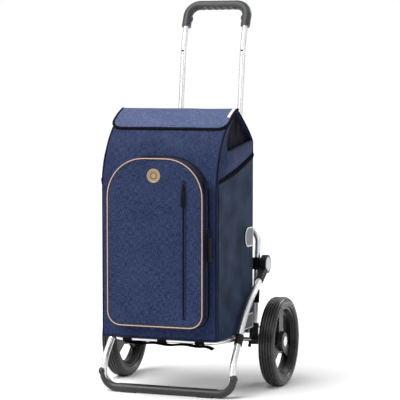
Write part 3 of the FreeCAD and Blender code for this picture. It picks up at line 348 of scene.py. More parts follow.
class Tree:
    """Shorthand for the nodes of one material or group."""

    def __init__(self, tree: bpy.types.NodeTree) -> None:
        """Keep the tree that nodes are placed in."""
        self.tree = tree

    def put(self, kind: str, inputs: dict | None = None, **settings: object) -> bpy.types.Node:
        """Place one node.

        Args:
            kind: Blender's name for the node.
            inputs: Value or socket for each of its inputs.
            settings: Its own settings.

        Returns:
            The node.
        """
        made = self.tree.nodes.new(kind)
        for key, value in settings.items():
            setattr(made, key, value)
        for key, value in (inputs or {}).items():
            self.feed(made.inputs[key], value)
        return made

    def feed(self, socket: bpy.types.NodeSocket, value: object) -> None:
        """Lead another socket or a plain value into an input."""
        if isinstance(value, bpy.types.NodeSocket):
            self.tree.links.new(value, socket)
        else:
            socket.default_value = value

    def math(self, operation: str, *values: object) -> bpy.types.NodeSocket:
        """One sum, as a socket."""
        return self.put("ShaderNodeMath", dict(enumerate(values)), operation=operation).outputs[0]

    def scaled(self, vector: bpy.types.NodeSocket,
               factors: Sequence[float]) -> bpy.types.NodeSocket:
        """A place, stretched along each axis."""
        inputs = {0: vector, 1: tuple(factors)}
        return self.put("ShaderNodeVectorMath", inputs, operation="MULTIPLY").outputs[0]

    def noise(self, vector: bpy.types.NodeSocket, scale: float,
              detail: float = 2) -> bpy.types.NodeSocket:
        """Soft noise from 0 to 1."""
        inputs = {"Vector": vector, "Scale": scale, "Detail": detail}
        return self.put("ShaderNodeTexNoise", inputs).outputs["Fac"]

    def span(self, value: bpy.types.NodeSocket, low: object, high: object,
             start: float = 0.0, end: float = 1.0) -> bpy.types.NodeSocket:
        """A value moved from one range to another and kept inside it."""
        inputs = {"Value": value, "From Min": start, "From Max": end, "To Min": low, "To Max": high}
        return self.put("ShaderNodeMapRange", inputs).outputs[0]

    def mix(self, share: object, first: object, second: object,
            blend: str = "MIX") -> bpy.types.NodeSocket:
        """Two colours mixed by a share."""
        made = self.put("ShaderNodeMix", data_type="RGBA", blend_type=blend)
        for index, value in ((0, share), (6, first), (7, second)):
            self.feed(made.inputs[index], opaque(value))
        return made.outputs[2]

    def bump(self, height: bpy.types.NodeSocket, strength: float,
             distance: float) -> bpy.types.NodeSocket:
        """Normal of a fine relief."""
        inputs = {"Height": height, "Strength": strength, "Distance": distance}
        return self.put("ShaderNodeBump", inputs).outputs["Normal"]


class Effect(Enum):
    """Patterns that several finishes share."""

    WEAVE = "weave"
    GRAIN = "grain"
    DUST = "dust"


SOCKETS = {"value": "NodeSocketFloat", "colour": "NodeSocketColor", "vector": "NodeSocketVector"}


def new_group(effect: Effect, inputs: dict[str, str], outputs: dict[str, str]) -> tuple:
    """An empty group with its sockets.

    Args:
        effect: Which pattern it is for.
        inputs: Kind of each input by name.
        outputs: Kind of each output by name.

    Returns:
        The group, its tree shorthand, its input sockets and its output node.
    """
    group = bpy.data.node_groups.new(effect.value, "ShaderNodeTree")
    for name, kind in inputs.items():
        group.interface.new_socket(name, in_out="INPUT", socket_type=SOCKETS[kind])
    for name, kind in outputs.items():
        group.interface.new_socket(name, in_out="OUTPUT", socket_type=SOCKETS[kind])
    tree = Tree(group)
    return group, tree, tree.put("NodeGroupInput").outputs, tree.put("NodeGroupOutput")


def weave_group() -> bpy.types.NodeTree:
    """Plain weave of two thread colours with slubs in both directions."""
    group, tree, given, out = new_group(
        Effect.WEAVE,
        {"Vector": "vector", "Threads": "value", "Slub": "value", "Blotch": "value",
         "Light": "colour", "Dark": "colour"},
        {"Color": "colour", "Height": "value"},
    )
    along = tree.put("ShaderNodeSeparateXYZ", {0: given["Vector"]})
    turns = tree.math("MULTIPLY", given["Threads"], math.pi)
    warp = tree.math("SINE", tree.math("MULTIPLY", along.outputs[0], turns))
    weft = tree.math("SINE", tree.math("MULTIPLY", along.outputs[1], turns))
    crossing = tree.math("MULTIPLY", warp, weft)
    across = tree.noise(tree.scaled(given["Vector"], (85, 780, 85)), 1)
    upright = tree.noise(tree.scaled(given["Vector"], (780, 85, 85)), 1)
    cloud = tree.noise(given["Vector"], 14, 3)
    slubs = tree.math("SUBTRACT", tree.math("ADD", across, upright), 1.0)
    tone = tree.math("MULTIPLY", slubs, given["Slub"])
    tone = tree.math("ADD", tone, tree.math("MULTIPLY", crossing, 0.12))
    uneven = tree.math("MULTIPLY", tree.math("SUBTRACT", cloud, 0.5), given["Blotch"])
    tone = tree.math("ADD", tone, uneven)
    share = tree.span(tone, 0.0, 1.0, -0.5, 0.5)
    tree.feed(out.inputs["Color"], tree.mix(share, given["Dark"], given["Light"]))
    height = tree.math("ADD", tree.math("MULTIPLY", crossing, 0.3),
                       tree.math("ADD", across, upright))
    tree.feed(out.inputs["Height"], height)
    return group


def grain_group() -> bpy.types.NodeTree:
    """Moulded or drawn surface: fine relief and broad unevenness."""
    group, tree, given, out = new_group(
        Effect.GRAIN,
        {"Vector": "vector", "Fineness": "value", "Light": "colour", "Dark": "colour"},
        {"Color": "colour", "Height": "value", "Broad": "value"},
    )
    fine = tree.put("ShaderNodeTexNoise", {"Vector": given["Vector"], "Scale": given["Fineness"]})
    broad = tree.noise(given["Vector"], 9, 4)
    share = tree.span(tree.math("ADD", tree.math("MULTIPLY", fine.outputs[0], 0.3), broad),
                      0.0, 1.0, 0.4, 0.95)
    tree.feed(out.inputs["Color"], tree.mix(share, given["Dark"], given["Light"]))
    tree.feed(out.inputs["Height"], fine.outputs[0])
    tree.feed(out.inputs["Broad"], broad)
    return group


def dust_group() -> bpy.types.NodeTree:
    """Mask of the faint dust that lies on what faces up."""
    group, tree, given, out = new_group(Effect.DUST, {"Amount": "value"}, {"Mask": "value"})
    normal = tree.put("ShaderNodeNewGeometry").outputs["Normal"]
    facing = tree.put("ShaderNodeSeparateXYZ", {0: normal})
    place = tree.put("ShaderNodeTexCoord").outputs["Object"]
    patchy = tree.span(tree.noise(place, 30, 4), 0.2, 1.0, 0.35, 0.7)
    up = tree.span(facing.outputs[2], 0.0, 1.0, 0.3, 1.0)
    mask = tree.math("MULTIPLY", tree.math("MULTIPLY", up, patchy), given["Amount"])
    tree.feed(out.inputs["Mask"], mask)
    return group


class Patterns:
    """The shared groups, each built the first time that it is asked for."""

    made: dict[Effect, bpy.types.NodeTree] = {}
    makers = {Effect.WEAVE: weave_group, Effect.GRAIN: grain_group, Effect.DUST: dust_group}

    @classmethod
    def place(cls, tree: Tree, effect: Effect, inputs: dict) -> bpy.types.Node:
        """Put a group's node in a material.

        Args:
            tree: The material's nodes.
            effect: Which pattern.
            inputs: Its values.

        Returns:
            The group's node.
        """
        if effect not in cls.made:
            cls.made[effect] = cls.makers[effect]()
        node = tree.put("ShaderNodeGroup", node_tree=cls.made[effect])
        for key, value in inputs.items():
            tree.feed(node.inputs[key], opaque(value))
        return node


@dataclass(frozen=True)
class Finish:
    """A material that is made once and shared."""

    name: str
    light: Colour
    dark: Colour
    rough: float = 0.5
    dust: float = 0.05

    def material(self) -> bpy.types.Material:
        """The material of this finish."""
        found = bpy.data.materials.get("trolley_" + self.name)
        if found is not None:
            return found
        made = bpy.data.materials.new("trolley_" + self.name)
        made.use_nodes = True
        tree = Tree(made.node_tree)
        shader = made.node_tree.nodes["Principled BSDF"]
        self.wire(tree, shader)
        return made

    def wire(self, tree: Tree, shader: bpy.types.Node) -> None:
        """Lead the patterns into the shader; each kind of finish has its own."""
        raise NotImplementedError

    def colour_in(self, tree: Tree, shader: bpy.types.Node, colour: bpy.types.NodeSocket) -> None:
        """Lead a colour into the shader under a film of dust.

        Args:
            tree: The material's nodes.
            shader: Its shader.
            colour: The clean colour.
        """
        mask = Patterns.place(tree, Effect.DUST, {"Amount": self.dust}).outputs["Mask"]
        dusty = tree.mix(mask, colour, DUST)
        tree.feed(shader.inputs["Base Color"], dusty)


@dataclass(frozen=True)
class Cloth(Finish):
    """Woven cloth with light and dark threads."""

    threads: float = 1500.0
    slub: float = 0.9
    blotch: float = 0.5
    sheen: float = 0.02
    gloss: float = 0.06
    relief: float = 0.35
    mapped: bool = True

    def wire(self, tree: Tree, shader: bpy.types.Node) -> None:
        """Threads follow the cloth's own map, or the piece where it has none."""
        places = tree.put("ShaderNodeTexCoord")
        if self.mapped:
            along = places.outputs["UV"]
        else:
            parts = tree.put("ShaderNodeSeparateXYZ", {0: places.outputs["Object"]})
            across = tree.math("ADD", parts.outputs[0], parts.outputs[1])
            up = tree.math("ADD", parts.outputs[2], tree.math("MULTIPLY", parts.outputs[1], 0.4))
            along = tree.put("ShaderNodeCombineXYZ", {0: across, 1: up}).outputs[0]
        weave = Patterns.place(tree, Effect.WEAVE, {
            "Vector": along, "Threads": self.threads, "Slub": self.slub, "Blotch": self.blotch,
            "Light": self.light, "Dark": self.dark})
        self.colour_in(tree, shader, weave.outputs["Color"])
        rough = tree.span(weave.outputs["Height"], self.rough - 0.06, self.rough + 0.08, 0.6, 1.4)
        tree.feed(shader.inputs["Roughness"], rough)
        normal = tree.bump(weave.outputs["Height"], self.relief, 0.0006)
        tree.feed(shader.inputs["Normal"], normal)
        shader.inputs["Sheen Weight"].default_value = self.sheen
        shader.inputs["Sheen Roughness"].default_value = 0.5
        shader.inputs["Specular IOR Level"].default_value = self.gloss


@dataclass(frozen=True)
class Moulded(Finish):
    """Moulded plastic or rubber with a fine texture."""

    fineness: float = 900.0
    relief: float = 0.12
    coat: float = 0.0
    metal: float = 0.0
    gloss: float = 0.35

    def wire(self, tree: Tree, shader: bpy.types.Node) -> None:
        """Texture, broad unevenness of the gloss, and dust."""
        place = tree.put("ShaderNodeTexCoord").outputs["Object"]
        grain = Patterns.place(tree, Effect.GRAIN, {
            "Vector": place, "Fineness": self.fineness, "Light": self.light, "Dark": self.dark})
        self.colour_in(tree, shader, grain.outputs["Color"])
        rough = tree.span(grain.outputs["Broad"], self.rough - 0.07, self.rough + 0.09, 0.3, 0.7)
        tree.feed(shader.inputs["Roughness"], rough)
        tree.feed(shader.inputs["Normal"], tree.bump(grain.outputs["Height"], self.relief, 0.0004))
        shader.inputs["Coat Weight"].default_value = self.coat
        shader.inputs["Coat Roughness"].default_value = 0.12
        shader.inputs["Specular IOR Level"].default_value = self.gloss
        shader.inputs["Metallic"].default_value = self.metal


@dataclass(frozen=True)
class Drawn(Finish):
    """Drawn and satin-anodised metal, with hairlines along the bar."""

    hairline: tuple[float, float, float] = (700, 700, 12)

    def wire(self, tree: Tree, shader: bpy.types.Node) -> None:
        """Hairlines in the gloss and a faint change of tone."""
        place = tree.put("ShaderNodeTexCoord").outputs["Object"]
        lines = tree.noise(tree.scaled(place, self.hairline), 1, 3)
        grain = Patterns.place(tree, Effect.GRAIN, {
            "Vector": place, "Fineness": 220.0, "Light": self.light, "Dark": self.dark})
        self.colour_in(tree, shader, grain.outputs["Color"])
        rough = tree.span(lines, self.rough - 0.08, self.rough + 0.10, 0.3, 0.7)
        tree.feed(shader.inputs["Roughness"], rough)
        tree.feed(shader.inputs["Normal"], tree.bump(lines, 0.05, 0.0003))
        shader.inputs["Metallic"].default_value = 1.0


@dataclass(frozen=True)
class Film(Finish):
    """Grey reflective film with a fine honeycomb under its face."""

    def wire(self, tree: Tree, shader: bpy.types.Node) -> None:
        """Cells in the gloss and the tone."""
        place = tree.put("ShaderNodeTexCoord").outputs["Object"]
        cells = tree.put("ShaderNodeTexVoronoi", {"Vector": place, "Scale": 420.0},
                         feature="DISTANCE_TO_EDGE").outputs[0]
        share = tree.span(cells, 0.0, 1.0, 0.0, 0.2)
        self.colour_in(tree, shader, tree.mix(share, self.dark, self.light))
        tree.feed(shader.inputs["Roughness"],
                  tree.span(cells, self.rough + 0.15, self.rough, 0.0, 0.2))
        tree.feed(shader.inputs["Normal"], tree.bump(cells, 0.2, 0.0004))
        shader.inputs["Coat Weight"].default_value = 0.12
        shader.inputs["Coat Roughness"].default_value = 0.2
        shader.inputs["Specular IOR Level"].default_value = 0.15


BLUE = Cloth("blue_melange", (0.037, 0.054, 0.130), (0.004, 0.008, 0.028), 0.82, slub=2.0)
# Lighter copy of the blue cloth for the side folds: painted light where the puffed fold catches the
# light.
BLUE_FOLD_LIT = Cloth("blue_fold_painted_light", (0.052, 0.074, 0.165), (0.008, 0.013, 0.042), 0.80, slub=1.8)
BLUE_POCKET = Cloth("blue_pocket", (0.038, 0.054, 0.121), (0.004, 0.008, 0.026), 0.82, slub=2.0,
                    mapped=False)
# Darker copy of the pocket's blue cloth for its side faces: painted shade where the gusset lies in
# shadow.
BLUE_GUSSET_SHADED = Cloth("blue_gusset_painted_shade", (0.018, 0.025, 0.062), (0.003, 0.005, 0.014), 0.82, slub=1.5,
                    mapped=False)
BLUE_LID = Cloth("blue_lid", (0.118, 0.150, 0.285), (0.032, 0.044, 0.110), 0.80, slub=2.0)
SLATE = Cloth("slate_side", (0.028, 0.046, 0.086), (0.007, 0.013, 0.030), 0.60, slub=0.7,
              blotch=2.4, sheen=0.0, gloss=0.04)
DARK_LINING = Cloth("dark_lining", (0.008, 0.009, 0.018), (0.002, 0.002, 0.005), 0.62, slub=0.4,
                    sheen=0.0, gloss=0.03)
BLACK_WEB = Cloth("black_webbing", (0.011, 0.011, 0.013), (0.003, 0.003, 0.004), 0.80, threads=900,
                  sheen=0.0, mapped=False, relief=0.6, dust=0.0, gloss=0.03)
CREAM = Cloth("cream_piping", (0.60, 0.51, 0.44), (0.36, 0.29, 0.24), 0.62, threads=1100, slub=0.5,
              sheen=0.0, mapped=False)
BROWN = Cloth("brown_edge", (0.10, 0.048, 0.034), (0.035, 0.018, 0.014), 0.7, slub=0.5, sheen=0.0,
              mapped=False)
NAVY_EDGE = Cloth("navy_edge", (0.012, 0.015, 0.036), (0.004, 0.005, 0.014), 0.7, sheen=0.0,
                  mapped=False)
ALUMINIUM = Drawn("satin_aluminium", (0.93, 0.93, 0.94), (0.74, 0.75, 0.77), 0.34, 0.03)
STEEL = Drawn("axle_steel", (0.62, 0.62, 0.64), (0.38, 0.38, 0.40), 0.30, 0.05, (12, 700, 700))
BLACK = Moulded("black_plastic", (0.011, 0.011, 0.013), (0.005, 0.005, 0.006), 0.42, dust=0.01,
                 gloss=0.22)
GRIP = Moulded("charcoal_grip", (0.050, 0.052, 0.056), (0.020, 0.021, 0.024), 0.40, fineness=1300,
               relief=0.25)
FOOT = Moulded("charcoal_rubber", (0.034, 0.034, 0.036), (0.014, 0.014, 0.016), 0.40, relief=0.2,
                dust=0.02, gloss=0.4)
GREY = Moulded("grey_face", (0.66, 0.67, 0.69), (0.50, 0.51, 0.53), 0.35)
SILVER = Moulded("silver_cap", (0.78, 0.78, 0.80), (0.60, 0.60, 0.62), 0.26, metal=0.9)
TYRE = Moulded("tyre_rubber", (0.018, 0.018, 0.019), (0.006, 0.006, 0.007), 0.26, 0.02, 700, 0.2,
                gloss=0.5)
RIM = Moulded("gloss_rim", (0.004, 0.004, 0.005), (0.002, 0.002, 0.002), 0.30, relief=0.03,
               dust=0.0, gloss=0.25)
ZIP_BLACK = Moulded("zip_coil", (0.006, 0.006, 0.007), (0.002, 0.002, 0.003), 0.60, dust=0.0,
                     gloss=0.1)
ZIP_METAL = Moulded("zip_slider", (0.030, 0.030, 0.034), (0.015, 0.015, 0.017), 0.30, metal=0.6)
GOLD = Moulded("gold_badge", (0.40, 0.29, 0.155), (0.24, 0.165, 0.08), 0.38, relief=0.08)
BOARD = Moulded("base_board", (0.020, 0.022, 0.035), (0.010, 0.011, 0.018), 0.7)
REFLECTIVE = Film("reflective_film", (0.165, 0.17, 0.18), (0.080, 0.085, 0.095), 0.35)
PALE_STRIP = Film("pale_strip", (0.80, 0.81, 0.83), (0.62, 0.63, 0.66), 0.30)

SLOT_FINISH = {
    "aluminium_tube": ALUMINIUM, "axle_steel": STEEL, "black_plastic": BLACK, "grip_plastic": GRIP,
    "grey_plastic": GREY, "silver_plastic": SILVER, "tyre": TYRE, "rim_plastic": RIM,
    "foot_rubber": FOOT, "blue_fabric": BLUE_POCKET, "slate_fabric": SLATE, "lining": DARK_LINING,
    "webbing": BLACK_WEB, "cream_piping": CREAM, "reflective": REFLECTIVE, "zip_black": ZIP_BLACK,
    "zip_metal": ZIP_METAL, "base_board": BOARD,
}


# ---------------------------------------------------------------- bag


@dataclass
class BagShape:
    """Outline of the bag that all its pieces share."""

    half_width: float = 0.168
    front: float = -0.2145
    back: float = 0.0745
    base: float = 0.161
    roof_start: float = 0.558
    roof_radius: float = 0.232
    ridge: float = -0.0525
    eaves: float = 0.688
    corner: float = 0.010
    band_front: float = 0.584
    band_back: float = 0.649

    @property
    def ridge_height(self) -> float:
        """Height of the ridge."""
        reach = self.front + self.roof_radius - self.ridge
        return self.roof_start + math.sqrt(self.roof_radius ** 2 - reach ** 2)

    def front_at(self, z: float) -> float:
        """y of the front at a height."""
        rise = min(max(z - self.roof_start, 0), self.ridge_height - self.roof_start)
        return self.front + self.roof_radius - math.sqrt(self.roof_radius ** 2 - rise ** 2)

    def back_at(self, z: float) -> float:
        """y of the back at a height."""
        share = min(max((z - self.eaves) / (self.ridge_height - self.eaves), 0), 1)
        return self.back + (self.ridge - self.back) * share ** 1.25

    def band_at(self, y: float) -> float:
        """Height of the elastic band's lower edge, which hangs a little."""
        share = (y - self.front) / (self.back - self.front)
        sag = 0.007 * math.sin(math.pi * share)
        return self.band_front + (self.band_back - self.band_front) * share - sag

    def fold_at(self, y: float) -> float:
        """Height of the side's folded top edge."""
        share = (y - self.front) / (self.back - self.front)
        return 0.657 + 0.037 * share

    def ring(self, share: float, z: float, inset: float = 0.0, side_inset: float = 0.0) -> Vector:
        """Point round the bag at a height.

        Args:
            share: 0 to 1 round the bag from the middle of the back, by the left side.
            z: Height.
            inset: How far inside the front and back.
            side_inset: How far inside the sides.

        Returns:
            The point, with rounded corners.
        """
        half = self.half_width - side_inset
        near, far = self.front_at(z) + inset, self.back_at(z) - inset
        depth = max(far - near, 0.004)
        corner = min(self.corner, depth * 0.45)
        runs = ((0.10, "back"), (0.05, "corner"), (0.17, "side"), (0.05, "corner"), (0.13, "front"))
        left = share <= 0.5
        along = share if left else 1 - share
        start = 0.0
        spot = Vector((0, near, z))
        for index, (length, kind) in enumerate(runs):
            if along <= start + length + 1e-9:
                part = (along - start) / length
                if kind == "back":
                    spot = Vector((-part * (half - corner), far, z))
                elif kind == "side":
                    spot = Vector((-half, far - corner - part * (depth - 2 * corner), z))
                elif kind == "front":
                    spot = Vector((-(1 - part) * (half - corner), near, z))
                else:
                    turn = math.radians(90 * part)
                    middle = Vector((-(half - corner), far - corner, z))
                    if index == 1:
                        spot = middle + corner * Vector((-math.sin(turn), math.cos(turn), 0))
                    else:
                        middle.y = near + corner
                        spot = middle + corner * Vector((-math.cos(turn), -math.sin(turn), 0))
                break
            start += length
        if not left:
            spot.x = -spot.x
        return spot


@dataclass
class BagShell:
    """Outer cloth of the bag, its lining, folds and edge trim."""

    shape: BagShape
    columns: int = 100
    rows: int = 62
    cloth: float = 0.002
    mouth_edge: float = 0.752
    fold_share: float = 0.62

    def relief(self, point: Vector) -> float:
        """How far the cloth stands out from its flat shape at a point."""
        shape = self.shape
        tall = (point.z - shape.base) / (shape.ridge_height - shape.base)
        slack = math.sin(math.pi * min(max(tall, 0), 1)) ** 0.6
        if abs(point.x) > shape.half_width - 0.003:
            depth = (point.y - shape.front) / (shape.back - shape.front)
            pull = -0.005 * math.sin(math.pi * min(max(depth, 0), 1))
            return (pull + 0.0016 * ripple(point, 11, 3.1)) * slack
        across = 1 - (point.x / shape.half_width) ** 2
        drape = 0.0012 * ripple(Vector((point.x * 1.6, point.y, point.z * 0.5)), 13, 7.7)
        fine = 0.0006 * ripple(point, 34, 1.9)
        return (0.0012 * across + drape + fine) * slack

    def shell(self) -> bpy.types.Object:
        """Lofted outer cloth from the base to the ridge, with its two side openings."""
        shape = self.shape
        tall = shape.ridge_height - shape.base
        round_the_bag = 4 * shape.half_width + 2 * (shape.back - shape.front)

        def where(u: float, v: float) -> Vector:
            z = shape.base + v * tall
            spot = shape.ring(u, z)
            middle = Vector((0, (shape.front_at(z) + shape.back_at(z)) / 2, z))
            outward = spot - middle
            if abs(abs(spot.x) - shape.half_width) < 1e-4:
                outward = Vector((outward.x, 0, 0))
            elif abs(spot.x) < shape.half_width - shape.corner:
                outward = Vector((0, outward.y, 0))
            lift = self.relief(spot)
            tuck = 0.006 * max(0.0, 1 - v / 0.012)
            return spot + outward.normalized() * (lift - tuck)

        piece = Bench.loft("bag_shell", self.columns, self.rows, where, (round_the_bag, tall))
        Bench.weld(piece)
        self.open_sides(piece)
        Bench.wall(piece, self.cloth)
        return sewn(piece, "bag", "blue_fabric", BLUE, "bag_front", "bag_back",
                    "bag_side_left", "bag_side_right")

    def open_sides(self, piece: bpy.types.Object) -> None:
        """Take away the cloth above the side folds and over the mouth.

        Args:
            piece: The shell, one face thick.
        """
        shape = self.shape

        def gone(middle: Vector) -> bool:
            x, y, z = middle
            near, far = shape.front_at(z) + 0.018, shape.back_at(z) - 0.012
            in_side = abs(x) > shape.half_width - 0.010 and near < y < far
            over_fold = in_side and z > shape.band_at(y) + 0.022
            over_mouth = z > self.mouth_edge and y < shape.ridge - 0.001
            return over_fold or over_mouth

        Bench.cut_away(piece, gone)

    def base(self) -> bpy.types.Object:
        """Stiff base with a welt round it."""
        shape = self.shape
        inset = 0.0045
        low = (-shape.half_width + inset, shape.front + inset, shape.base)
        high = (shape.half_width - inset, shape.back - inset, shape.base + 0.004)
        piece = Bench.block("bag_base_board", low, high, 0.0015)
        welt = [shape.ring(step / 120, shape.base + 0.003) for step in range(120)]
        trim = Bench.tube("base_welt", welt, 0.0016, closed=True)
        piece.data.materials.append(BOARD.material())
        trim.data.materials.append(NAVY_EDGE.material())
        piece = Bench.join("bag_base_board", [piece, trim])
        return sewn(piece, "bag", "base_board", BOARD, "bag_base")

    def lining(self) -> bpy.types.Object:
        """Dark lining that closes the bag under the lid, with the mouth in its front slope."""
        shape = self.shape
        low = 0.585
        tall = shape.ridge_height - 0.004 - low

        def where(u: float, v: float) -> Vector:
            z = low + v * tall
            spot = shape.ring(u, z, inset=0.006, side_inset=0.013)
            if abs(spot.x) > shape.half_width - 0.016:
                pleat = math.sin(spot.y * 95 + 14 * z) * 0.6 + ripple(spot, 22, 5.5)
                spot.x += math.copysign(0.0045 * pleat, spot.x)
            return spot

        piece = Bench.loft("bag_lining", 120, 36, where, (1.2, tall))
        Bench.weld(piece)
        Bench.cut_away(piece, lambda middle: abs(middle.x) < 0.140 and middle.z > 0.70
                       and -0.128 < middle.y < shape.ridge - 0.012)
        Bench.wall(piece, 0.0012)
        return sewn(piece, "bag", "lining", DARK_LINING, "lining_collar")

    def side_fold(self, name: str, side: int) -> bpy.types.Object:
        """Blue side cloth above the band, turned inwards in a soft fold.

        Args:
            name: left or right.
            side: -1 or 1.

        Returns:
            The fold.
        """
        shape = self.shape
        length = shape.back - shape.front

        def where(u: float, v: float) -> Vector:
            share = u if side > 0 else 1 - u
            low_y = shape.front_at(0.62) + 0.012
            y = low_y + share * (shape.back - 0.010 - low_y)
            foot, top = shape.band_at(y) + 0.010, shape.fold_at(y)
            climb = min(v / self.fold_share, 1)
            z = foot + (top - foot) * math.sin(climb * math.pi / 2)
            puff = 0.011 * math.sin(math.pi * climb) ** 0.8 * math.sin(math.pi * share) ** 0.7
            crease = 0.0034 * ripple(Vector((y * 1.3, z * 0.4, 1.0)), 38, 2.2)
            x = shape.half_width + 0.0012 + puff + crease * math.sin(math.pi * climb)
            limit = shape.front_at(z) + 0.004
            y = max(y, limit)
            if v > self.fold_share:
                turn = (v - self.fold_share) / (1 - self.fold_share)
                x -= 0.012 * math.sin(min(turn * 2, 1) * math.pi / 2)
                z -= 0.030 * max(0.0, turn - 0.25)
            else:
                x -= 0.003 * climb ** 6
            return Vector((side * x, y, z))

        piece = Bench.loft("side_fold_" + name, 40, 26, where, (length, 0.11))
        Bench.wall(piece, 0.0016, 70)
        # The fold's lighter blue is painted light.
        return sewn(piece, "bag", "blue_fabric", BLUE_FOLD_LIT)

    def front_return(self, name: str, side: int) -> bpy.types.Object:
        """Strip of the front cloth that turns round the corner over the side's fold.

        Args:
            name: left or right.
            side: -1 or 1.

        Returns:
            The strip, wide at the band and narrow at the lid.
        """
        shape = self.shape
        low, high = 0.578, self.mouth_edge

        def where(u: float, v: float) -> Vector:
            z = low + (high - low) * v
            wide = 0.046 - 0.030 * min(max((z - 0.60) / 0.13, 0), 1)
            share = u if side > 0 else 1 - u
            y = shape.front_at(z) + 0.002 + share * wide
            lift = 0.0100 * math.sin(math.pi * min(v / 0.75, 1)) ** 2 * share
            x = shape.half_width + 0.0012 + lift + 0.0008 * ripple(Vector((y, z, 0.7)), 30, 8.1)
            return Vector((side * x, y, z))

        piece = Bench.loft("front_return_" + name, 12, 40, where, (0.05, high - low))
        Bench.wall(piece, 0.0016)
        return sewn(piece, "bag", "blue_fabric", BLUE)

    def edge_trim(self) -> bpy.types.Object:
        """Dark welt down both front edges, up to the lid."""
        shape = self.shape
        welts = []
        for name, side in SIDES:
            points = []
            for step in range(61):
                z = shape.base + 0.004 + (self.mouth_edge - shape.base - 0.004) * step / 60
                x = side * (shape.half_width - 0.0035)
                points.append(Vector((x, shape.front_at(z) + 0.0022, z)))
            welts.append(Bench.tube("front_welt_" + name, points, 0.0019))
        piece = Bench.join("front_welts", welts)
        return sewn(piece, "bag", "blue_fabric", NAVY_EDGE)

    def seams(self) -> bpy.types.Object:
        """Binding along the side openings' back edge."""
        shape = self.shape
        strips = []
        for name, side in SIDES:
            points = []
            for step in range(31):
                x = side * (shape.half_width - 0.001)
                tall = shape.ridge_height - shape.band_back + 0.006
                z = shape.band_back - 0.01 + tall * step / 30
                points.append(Vector((x, shape.back_at(z) - 0.0035, z)))
            strips.append(Bench.tube("back_welt_" + name, points, 0.0028))
        piece = Bench.join("back_welts", strips)
        return sewn(piece, "bag", "blue_fabric", BLACK_WEB)

    def build(self) -> None:
        """All the pieces of the shell."""
        self.shell()
        self.base()
        self.lining()
        for name, side in SIDES:
            self.side_fold(name, side)
            self.front_return(name, side)
        self.edge_trim()
        self.seams()


